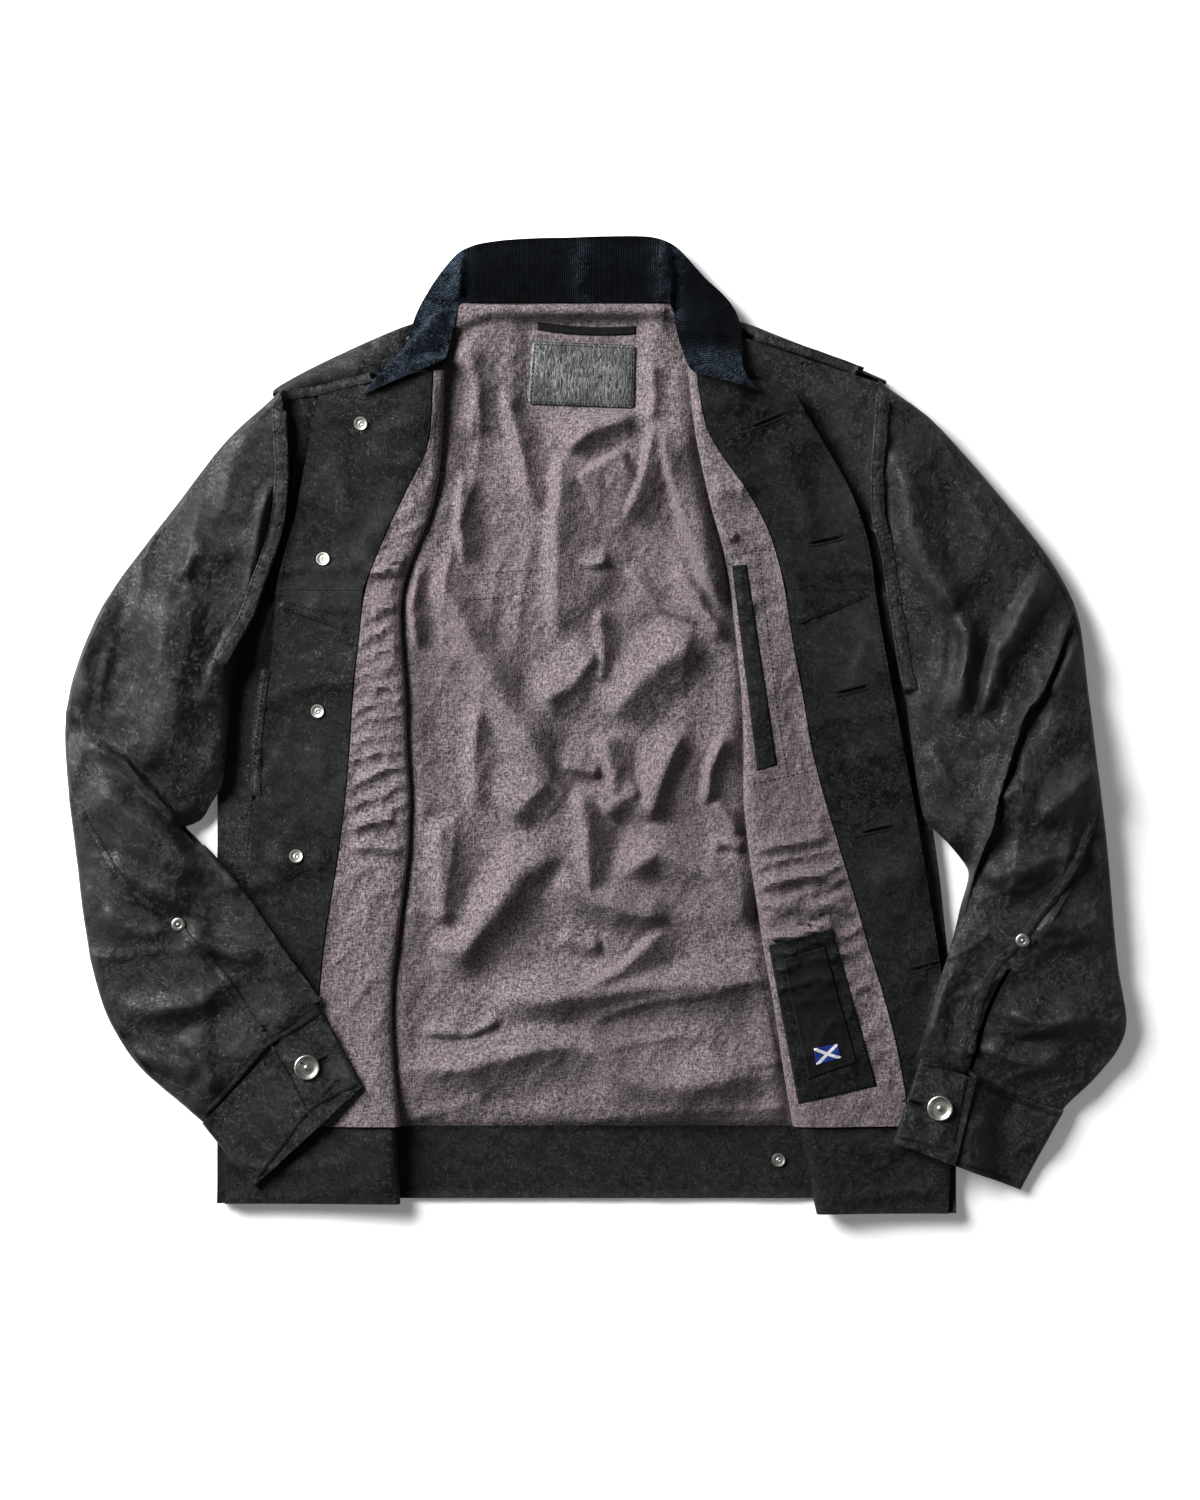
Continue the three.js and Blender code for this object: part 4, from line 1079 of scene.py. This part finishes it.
# (x, y, length, turn in degrees) of each hole in the right front
BUTTONHOLES = [
    (122, 216, 24, 22), (162, 131, 24, 12), (181, 25, 24, 14), (200, -74, 24, 12), (234, -171, 24, 15),
]

# %% Bands along the seams
BAND_STEP, ROW_WIDTH, ROW_PUCKERS, BURIED = 1.4, 2.3, 0.35, 0.4


def through(points, step):
    """Points about step millimetres apart on a smooth curve through the given ones."""
    points = np.array(points, float)
    padded = np.vstack([2 * points[0] - points[1], points, 2 * points[-1] - points[-2]])
    found = []
    for a, b, c, d in zip(padded, padded[1:], padded[2:], padded[3:]):
        n = max(2, int(np.linalg.norm(c - b) / step))
        t = np.linspace(0, 1, n, endpoint=False)[:, None]
        found.append(b + 0.5 * t * (c - a + t * (2 * a - 5 * b + 4 * c - d + t * (3 * (b - c) + d - a))))
    return np.vstack([*found, points[-1:]])


def beside(line, away):
    """The same line moved to its left."""
    d = np.gradient(line, axis=0)
    d /= np.linalg.norm(d, axis=1)[:, None]
    return line + away * np.stack([-d[:, 1], d[:, 0]], 1)


def laid(line, rise):
    """The line's points on the cloth, rise above it, or None where there is no cloth."""
    hits = [surface(x, y)[0] for x, y in line]
    return [None if hit is None else (x, y, hit.z + rise) for (x, y), hit in zip(line, hits)]


def cover(name, grid, coat, crest=0.0):
    """A sheet from rows of points, with no rim, that leaves out the cells where there is no cloth."""
    rows, columns = len(grid), len(grid[0])
    points, index = [], {}
    for i in range(rows):
        for j in range(columns):
            if grid[i][j] is not None:
                index[i, j] = len(points)
                points.append(grid[i][j])
    faces = []
    for i, j in np.ndindex(rows - 1, columns - 1):
        cell = [(i, j), (i, j + 1), (i + 1, j + 1), (i + 1, j)]
        if all(c in index for c in cell):
            faces.append([index[c] for c in cell])
    obj = new_object(name, np.array(points), faces, coat)
    work = bmesh.new()
    work.from_mesh(obj.data)
    work.normal_update()
    if sum(f.normal.z * f.calc_area() for f in work.faces) < 0:
        bmesh.ops.reverse_faces(work, faces=work.faces)
    work.to_mesh(obj.data)
    work.free()
    shade_smooth(obj)
    mark(obj, "crest", np.full(len(points), crest))
    return obj


# Across a band: how far from its middle, as a share of its width, and how high above the cloth
PROFILE = (
    (-0.5, -0.35), (-0.46, 0.3), (-0.36, -0.04), (-0.27, 0.36), (0, 0.24), (0.27, 0.36), (0.36, -0.04),
    (0.46, 0.3), (0.5, -0.35),
)
ROW_PROFILE = ((-0.5, -0.3), (-0.36, 0.34), (-0.14, -0.02), (0.14, -0.02), (0.36, 0.34), (0.5, -0.3))


def bridged(line, width):
    """The height of the cloth that a band lies on: the higher side rules, and small gaps are crossed."""
    lines = [beside(line, width * share) for share in (-0.55, -0.3, 0, 0.3, 0.55)]
    sides = [[surface(x, y)[0] for x, y in line] for line in lines]
    high = np.array([max((h.z for h in hits if h is not None), default=0.0) for hits in zip(*sides)])
    high = np.array([high[max(0, k - 1) : k + 2].max() for k in range(len(high))])
    return evened(high, 1)


def band(name, width, puckers, *points, profile=PROFILE):
    """A raised band along a seam. It sinks into the cloth at its two ends."""
    line = through(points, BAND_STEP)
    along = np.arange(len(line)) * BAND_STEP
    wave = puckers * (noise(along, along * 0, 3.9, 31) + 0.6 * noise(along, along * 0, 9.5, 32) - 0.7)
    sway = 0.5 * (noise(along, along * 0, 14, 33) - 0.5)
    high = bridged(line, width)
    sides = []
    fade = smooth(np.minimum(along, along[-1] - along) / 5)
    for share, rise in profile:
        side = beside(line, width * share) + sway[:, None]
        hits = [surface(x, y)[0] for x, y in side]
        low = np.array([up if h is None else min(h.z, up) for h, up in zip(hits, high)])
        up = high + rise + wave * (rise > 0.2) if rise > -0.1 else low + rise
        heights = low - BURIED + (up - low + BURIED) * fade
        sides.append([(x, y, z) for (x, y), z in zip(side, heights)])
    coat = FACING if "facing" in name or "cuff" in name else WAXED
    # The band is marked as a crest at 0.6, so the waxed material paints it paler: rubbed wear and painted
    # highlight.
    return cover(name + "_seam", list(zip(*sides)), coat, 0.6)


bands = {name: band(name, *row) for name, row in SEAMS.items()}
for name, points in ROWS.items():
    if "front" not in name:
        bands[name] = band(name, ROW_WIDTH, ROW_PUCKERS, *points, profile=ROW_PROFILE)
for name, obj in bands.items():
    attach(obj, "root")
print("seam bands:", len(bands), "triangles", sum(map(triangles, bands.values())))

# %% [markdown]
# ## Labels, loop and welt
# Each is a flat piece sewn on. It is stiffer than the lining, so it bridges the small hollows under it.

# %% Flat pieces on the cloth
UNEVEN, EDGE_DIP, SEAM_DIP = 0.25, 0.35, 0.22


def patch(name, node, corners, coat, thick, round_by=0.0, stiff=3, cell=1.2, sag=0.0, under=None):
    """A four-cornered piece, corners in order from its upper left, that lies on the cloth under it."""
    a, b, c, d = (np.array(p, float) for p in corners)
    wide, long = np.linalg.norm(b - a), np.linalg.norm(d - a)
    us, vs = (np.linspace(0, 1, max(3, int(size / cell)) + 1) for size in (wide, long))
    U, V = np.meshgrid(us, vs)
    if round_by:
        cx, cy = (U - 0.5) * wide, (V - 0.5) * long
        ox, oy = np.abs(cx) - (wide / 2 - round_by), np.abs(cy) - (long / 2 - round_by)
        far = np.hypot(ox, oy)
        pull = np.where((ox > 0) & (oy > 0), np.maximum(ox, oy) / np.maximum(far, 1e-6), 1.0)
        cx = np.where(pull < 1, np.sign(cx) * (wide / 2 - round_by + ox * pull), cx)
        cy = np.where(pull < 1, np.sign(cy) * (long / 2 - round_by + oy * pull), cy)
        U, V = cx / wide + 0.5, cy / long + 0.5

    def place(k):
        return (a[k] * (1 - U) + b[k] * U) * (1 - V) + (d[k] * (1 - U) + c[k] * U) * V

    X, Y = place(0), place(1) - sag * 4 * U * (1 - U)
    Z = np.array([[surface(x, y, under)[0].z for x, y in zip(*row)] for row in zip(X, Y)])
    calm = Z.copy()
    for _ in range(stiff):
        calm = softened(calm, 1)
    Z = np.maximum(calm, Z) + thick
    Z = Z + UNEVEN * (turned_noise(X, Y, 24, 41) - 0.5)
    edge = np.minimum(np.minimum(U, 1 - U) * wide, np.minimum(V, 1 - V) * long)
    Z = Z - EDGE_DIP * thick * np.exp(-edge / 0.5) - SEAM_DIP * np.exp(-(((edge - 2.0) / 0.6) ** 2))
    obj = new_object(name, on_grid(X, Y, Z), [face[::-1] for face in sheet_faces(X.shape)], coat)
    shade_smooth(obj)
    where = obj.data.uv_layers.new(name="map")
    corner = np.array([loop.vertex_index for loop in obj.data.loops])
    where.data.foreach_set("uv", np.stack([U.ravel()[corner], V.ravel()[corner]], 1).ravel())
    apply_modifier(obj, "SOLIDIFY", thickness=thick * MM, offset=-1.0)
    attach(obj, "root")
    if node:
        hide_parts(node)
    return obj


LABEL = ((-46, 274), (28, 271), (27, 226), (-49, 229))
LOOP = ((-42, 288), (28, 285), (28, 279), (-42, 282))
WELT = ((96, 113), (106, 114), (128, -28), (114, -32))
PATCH = ((122, -156), (167, -144), (199, -256), (143, -268))
TAG = ((132, -166), (162, -157), (185, -239), (150, -251))
FLAG = ((154, -229), (171, -226), (174, -236), (156, -241))
label = patch("leather_label_piece", "leather_label", LABEL, LEATHER, 1.3, round_by=3.5, stiff=9)
loop = patch("hanger_loop_piece", "hanger_loop", LOOP, WOVEN, 0.9, stiff=2, sag=2.2)
welt = patch("welt_pocket_piece", "welt_pocket", WELT, FACING, 0.8, stiff=1)
label_patch = patch("label_patch_piece", "label_patch", PATCH, FACING, 0.8, stiff=7)
tag = patch("woven_label_piece", "woven_label", TAG, WOVEN, 0.6, stiff=2, under=seen_tree([label_patch]))


def flag_paint():
    """The woven flag: a pale diagonal cross on blue, in threads."""
    p = Paint("woven_flag")
    split = p.nodes.new("ShaderNodeSeparateXYZ")
    p.links.new(p.nodes.new("ShaderNodeUVMap").outputs[0], split.inputs[0])
    u, v = split.outputs[0], split.outputs[1]
    one = p.sums("ABSOLUTE", p.sums("SUBTRACT", u, v), 0.0)
    two = p.sums("ABSOLUTE", p.sums("SUBTRACT", p.sums("ADD", u, v), 1.0), 0.0)
    cross = p.span(p.sums("MINIMUM", one, two), 0.09, 0.14, 1.0, 0.0)
    threads = p.span(p.grain(1600, 2), 0.3, 0.7, 0.7, 1.15)
    colour = p.mix(cross, (0.018, 0.045, 0.22), (0.62, 0.62, 0.64))
    woven = p.add("CombineColor", _0=threads, _1=threads, _2=threads)
    colour = p.mix(1.0, colour, woven, "MULTIPLY")
    p.set(Base_Color=colour, Roughness=0.85, Specular_IOR_Level=0.2)
    p.bumps((p.grain(1400, 2), 0.00015))
    return p.material


flag = patch("woven_flag", None, FLAG, flag_paint(), 0.25, stiff=1, cell=0.8, under=seen_tree([tag]))
pieces_on = [label, loop, welt, label_patch, tag, flag]
top = seen_tree([*shell.values(), *bands.values(), *pieces_on])
print("flat pieces:", {o.name: triangles(o) for o in pieces_on})

# %% [markdown]
# ## Topstitching
# Every row is thread, sewn at about three stitches to the centimetre, and each stitch sinks at both ends.

# %% Stitches
# Along a stitch: the share of its length, how fat it is there, and how far its middle stands up
BEAD = ((0, 0.15, -0.12), (0.12, 0.8, 0.08), (0.5, 1, 0.2), (0.88, 0.8, 0.08), (1, 0.15, -0.12))
RING = [(math.cos(a), math.sin(a)) for a in np.linspace(0, 2 * np.pi, 6)[:-1]]
ROUND, LAST = len(RING), len(RING) * (len(BEAD) - 1)
STEEPEST, SEWN_STEP, ROW_AT = 2.5, 2.0, 0.36


def bead_faces(start):
    """The faces of one stitch whose first point is start, with both ends closed."""
    faces = []
    for ring, k in np.ndindex(len(BEAD) - 1, ROUND):
        one, two = start + ROUND * ring + k, start + ROUND * ring + (k + 1) % ROUND
        faces.append([one, two, two + ROUND, one + ROUND])
    return faces + [[start + k for k in reversed(range(ROUND))], [start + LAST + k for k in range(ROUND)]]


def stitches(name, runs, coat, pitch=3.4, long=2.4, thick=0.44):
    """runs is a list of lines. Each stitch is a small bead of thread, bent down at its ends."""
    points, faces = [], []
    for line in runs:
        steps = np.linalg.norm(np.diff(line, axis=0), axis=1)
        total = np.concatenate([[0], np.cumsum(steps)])
        for at in np.arange(pitch / 2, total[-1], pitch):
            ends = [[np.interp(at + s * long / 2, total, line[:, k]) for k in (0, 1)] for s in (-1, 1)]
            (one, normal), (two, other) = (surface(*end) for end in ends)
            if one is None or two is None or abs(one.z - two.z) > STEEPEST:
                continue
            p, q = np.array(one), np.array(two)
            up = np.array((normal + other).normalized())
            d = (q - p) / max(np.linalg.norm(q - p), 1e-6)
            side = np.cross(d, up)
            faces += bead_faces(len(points))
            for share, fat, rise in BEAD:
                middle = p + (q - p) * share + up * rise
                points += [middle + thick * fat * (c * side + 0.8 * s * up) for c, s in RING]
    obj = new_object(name, np.array(points), faces, coat)
    work = bmesh.new()
    work.from_mesh(obj.data)
    bmesh.ops.recalc_face_normals(work, faces=work.faces)
    work.to_mesh(obj.data)
    work.free()
    shade_smooth(obj)
    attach(obj, "root")
    return obj


def inner_border(corners, inset):
    """The four sides of a flat piece, moved in."""
    corners = [np.array(p, float) for p in corners]
    middle = sum(corners) / 4
    inner = [middle + (p - middle) * (1 - inset / (0.7 * np.abs(p - middle))) for p in corners]
    return [np.linspace(p, q, 30) for p, q in zip(inner, inner[1:] + inner[:1])]


runs = []
for name, (width, _, *points) in SEAMS.items():
    line = through(points, SEWN_STEP)
    runs += [beside(line, width * ROW_AT), beside(line, -width * ROW_AT)]
runs += [through(points, SEWN_STEP) for points in ROWS.values()]
topstitching = stitches("topstitching", runs, THREAD)
runs = [through(points, SEWN_STEP) for points in PALE_ROWS.values()]
pale = stitches("lining_stitching", runs, PALE_THREAD, thick=0.36)
borders = ((LABEL, 1.5), (PATCH, 1.6), (TAG, 1.2))
bordered = [line for corners, inset in borders for line in inner_border(corners, inset)]
label_stitching = stitches("label_stitching", bordered, THREAD, pitch=2.8, long=1.9, thick=0.34)
print("stitch triangles:", [triangles(o) for o in (topstitching, pale, label_stitching)])

# %% [markdown]
# ## Buttonholes
# A slit whose two edges are bound with close thread, and a bar at each end.

# %% Buttonholes in the right front and both cuffs
CUFF_HOLES = [(-196, -238, 15, 28), (225, -267, 15, -16)]
SLIT_POINTS, SLIT_RISE = 14, 0.06
bars, slits = [], []
for x, y, long, turn in [*BUTTONHOLES, *CUFF_HOLES]:
    d = np.array([math.cos(math.radians(turn)), math.sin(math.radians(turn))])
    side = np.array([-d[1], d[0]])
    middle = np.array([x, y], float)
    for at in np.arange(-long / 2, long / 2 + 0.1, 0.8):
        wobble = 0.25 * math.sin(at * 5.3 + x)
        for s in (-1, 1):
            foot = middle + d * (at + wobble) + side * s * 0.35
            bars.append(np.array([foot + side * s * 0.3, foot + side * s * (2.3 + wobble)]))
    slits.append(np.array([middle - d * long * 0.46, middle + d * long * 0.46]))


def bar_stitches(name, pairs, coat, thick):
    long = max(np.linalg.norm(b - a) for a, b in pairs)
    return stitches(name, pairs, coat, pitch=long, long=long * 0.92, thick=thick)


holes = bar_stitches("buttonhole_thread", bars, THREAD, 0.44)


def slit_shade(k, line):
    """The gap down the middle of a buttonhole, as a near-black sheet: painted shade."""
    fine = np.linspace(line[0], line[1], SLIT_POINTS)
    swell = 1.1 * np.sin(np.linspace(0, np.pi, SLIT_POINTS))
    spread = 0.3 + swell * (0.4 + 1.2 * noise(fine[:, 0], fine[:, 1], 4.5, 61))
    out = (beside(fine, 1.0) - fine) * spread[:, None]
    sides = [laid(fine + out * s, SLIT_RISE) for s in (-1, 0, 1)]
    return cover(f"buttonhole_slit_shade_{k + 1}", list(zip(*sides)), SLIT_SHADE)


def slit_shade_paint():
    # Near-black: painted shade for the gap inside a buttonhole.
    p = Paint("slit_shade")
    colour = p.mix(p.grain(400, 2), (0.0008, 0.0008, 0.001), (0.002, 0.002, 0.0022))
    p.set(Base_Color=colour, Roughness=0.95, Specular_IOR_Level=0.05)
    return p.material


SLIT_SHADE = slit_shade_paint()
gaps = [slit_shade(k, line) for k, line in enumerate(slits)]
for obj in gaps:
    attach(obj, "root")
print("buttonholes:", len(gaps), "triangles of thread", triangles(holes))

# %% [markdown]
# ## Buttons, tack backs and rivets
# Each is stamped from sheet and pressed through the cloth. A half section spun about its axis is how such a
# round stamping is drawn.

# %% Spun metal
SPIN_STEPS, PROUD = 40, 0.25


def spun(name, node, profile, x, y):
    """profile is (radius, height) in millimetres from the middle to the underside's edge."""
    mesh = bpy.data.meshes.new(name)
    section = [(r * MM, 0, z * MM) for r, z in profile]
    mesh.from_pydata(section, [(k, k + 1) for k in range(len(profile) - 1)], [])
    obj = bpy.data.objects.new(name, mesh)
    bpy.context.scene.collection.objects.link(obj)
    pick(obj)
    bpy.ops.object.mode_set(mode="EDIT")
    bpy.ops.mesh.select_all(action="SELECT")
    bpy.ops.mesh.spin(steps=SPIN_STEPS, angle=2 * math.pi, center=(0, 0, 0), axis=(0, 0, 1))
    bpy.ops.mesh.select_all(action="SELECT")
    bpy.ops.mesh.remove_doubles(threshold=0.00002)
    bpy.ops.mesh.normals_make_consistent(inside=False)
    bpy.ops.object.mode_set(mode="OBJECT")
    obj.data.materials.append(NICKEL)
    radius = max(r for r, _ in profile)
    around = [(math.cos(a), math.sin(a)) for a in np.linspace(0, 2 * np.pi, 13)[:-1]]
    hits = [surface(x + radius * f * c, y + radius * f * s)[0] for f in (0.5, 1.0) for c, s in around]
    hits = [h for h in hits if h is not None]
    away = np.array([[h.x - x, h.y - y, 1.0] for h in hits])
    slope, _, _, _ = np.linalg.lstsq(away, np.array([h.z for h in hits]), rcond=None)
    normal = Vector((-slope[0], -slope[1], 1.0)).normalized()
    turn = normal.to_track_quat("Z", "Y").to_matrix()
    centre = Vector((x, y, slope[2] + PROUD))
    move_to(obj, np.array([centre + turn @ Vector(p) for p in points_of(obj)]))
    pick(obj)
    bpy.ops.object.shade_smooth_by_angle(angle=math.radians(40))
    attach(obj, "root")
    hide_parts(node)
    return obj


TACK = [
    (0, 0.75), (0.55, 0.8), (0.95, 1.05), (1.3, 1.1), (1.6, 0.85), (2.0, 0.8), (3.7, 0.98), (4.1, 1.25),
    (4.6, 1.2), (4.95, 0.8), (5, 0.3), (4.9, -0.1), (0, -0.1),
]
RIVET = [
    (0, 1.7), (0.6, 1.65), (1.05, 1.3), (1.2, 0.5), (1.9, 0.35), (2.1, 1.05), (2.6, 1.3), (4.2, 1.2),
    (4.8, 0.85), (5, 0.3), (4.9, -0.1), (0, -0.1),
]
BUTTON = [
    (0, 2.5), (0.9, 2.45), (1.6, 2.0), (1.8, 1.2), (2.6, 0.95), (3.4, 1.15), (4.0, 1.0), (5.6, 1.15),
    (6.8, 1.7), (7.5, 2.3), (8.2, 2.45), (8.8, 2.1), (9, 1.5), (8.7, 0.6), (8.0, -0.1), (0, -0.1),
]
AT = {
    "tack_1": (TACK, -167, 214), "tack_2": (TACK, -194, 118), "tack_3": (TACK, -198, 10),
    "tack_4": (TACK, -213, -93), "tack_hem": (TACK, 130, -310),
    "sleeve_rivet_left": (RIVET, -296, -141), "sleeve_rivet_right": (RIVET, 301, -152),
    "cuff_button_left": (BUTTON, -205, -242), "cuff_button_right": (BUTTON, 243, -271),
}
metal = {name: spun(name + "_metal", name, profile, x, y) for name, (profile, x, y) in AT.items()}
print("metal:", {name: triangles(o) for name, o in metal.items()})

# %% [markdown]
# ## What each sheet was cut to
# The cut is as wide and as long as the cloth that shows, all the way round a tube.

# %% The cut, in millimetres, and its share of that oblong
CUT = {
    "back_panel": (526, 390, 0.98), "back_yoke": (460, 215, 0.87), "back_lining": (520, 577, 0.98),
    "hem_band_back": (526, 56, 1.0),
    "front_panel_left": (245, 381, 0.97), "front_panel_right": (250, 381, 0.97),
    "front_yoke_left": (230, 156, 0.86), "front_yoke_right": (235, 191, 0.8),
    "hem_band_left": (270, 54, 1.0), "hem_band_right": (250, 60, 0.92),
    "front_lining_left": (95, 537, 0.82), "front_lining_right": (110, 573, 0.8),
    "facing_upper_left": (82, 155, 0.92), "facing_upper_right": (80, 155, 0.9),
    "facing_lower_left": (68, 380, 0.91), "facing_lower_right": (62, 380, 0.88),
    "top_sleeve_left": (85, 500, 0.945), "top_sleeve_right": (100, 510, 0.952),
    "under_sleeve_left": (150, 530, 0.951), "under_sleeve_right": (155, 530, 0.966),
    "cuff_left": (250, 60, 1.0), "cuff_right": (250, 60, 1.0), "collar": (330, 52, 0.85),
}


def half_area(obj):
    """One face of a piece of cloth, in square millimetres."""
    return sum(p.area for p in obj.data.polygons) / 2 * 1e6


for node, obj in shell.items():
    wide, long, share = CUT[node]
    shown, cut = half_area(obj), wide * long * share
    print(f"{node}: cloth {shown:.0f} mm2, cut {cut:.0f} mm2, ratio {shown / cut:.2f}")
    part, _, side = node.rpartition("_") if node.endswith(SIDES) else (node, "", "")

# %% [markdown]
# ## The floor, the light and the camera
# The jacket is photographed from straight above on white, in soft light from the upper left.

# %% The set
bpy.ops.object.select_all(action="DESELECT")
bpy.ops.mesh.primitive_plane_add(size=8, location=(0, 0, -0.0003))
floor = bpy.context.object
floor.name = "floor"
paper = Paint("paper")
white = paper.mix(paper.grain(3, 2), (0.90, 0.90, 0.90), (0.92, 0.92, 0.925))
paper.set(Base_Color=white, Roughness=0.9, Specular_IOR_Level=0.1)
paper.set(Emission_Color=(0.97, 0.98, 1.0, 1), Emission_Strength=0.13)
floor.data.materials.append(paper.material)
floor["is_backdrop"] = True

world = bpy.data.worlds.new("studio")
bpy.context.scene.world = world
world.use_nodes = True
world.node_tree.nodes["Background"].inputs[0].default_value = (0.97, 0.98, 1.0, 1)
world.node_tree.nodes["Background"].inputs[1].default_value = 0.062
look = bpy.context.scene.view_settings
look.view_transform, look.gamma, look.exposure = "Standard", 0.83, 0.45


def softbox(name, place, aim, size, power):
    data = bpy.data.lights.new(name, "AREA")
    data.shape, data.size, data.energy = "SQUARE", size, power
    obj = bpy.data.objects.new(name, data)
    obj.location = place
    obj.rotation_euler = (Vector(aim) - Vector(place)).to_track_quat("-Z", "Y").to_euler()
    bpy.context.scene.collection.objects.link(obj)


softbox("key", (-1.9, 1.3, 1.5), (0, 0, 0), 1.55, 160)
softbox("fill", (2.2, -1.1, 1.5), (0, 0, 0), 1.8, 6)

AWAY, WIDTH, SENSOR = 2.5, 0.857, 36
camera = bpy.data.cameras.new("camera")
camera.sensor_fit, camera.sensor_width = "HORIZONTAL", SENSOR
camera.lens = SENSOR * AWAY / WIDTH
eye = bpy.data.objects.new("camera", camera)
eye.location = (0.0025, -0.0175, AWAY)
bpy.context.scene.collection.objects.link(eye)
bpy.context.scene.camera = eye
print("lens:", round(camera.lens, 1), "mm")

# %% The end
low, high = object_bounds()
print("box in mm:", [round(c / MM, 1) for c in (*low, *high)])
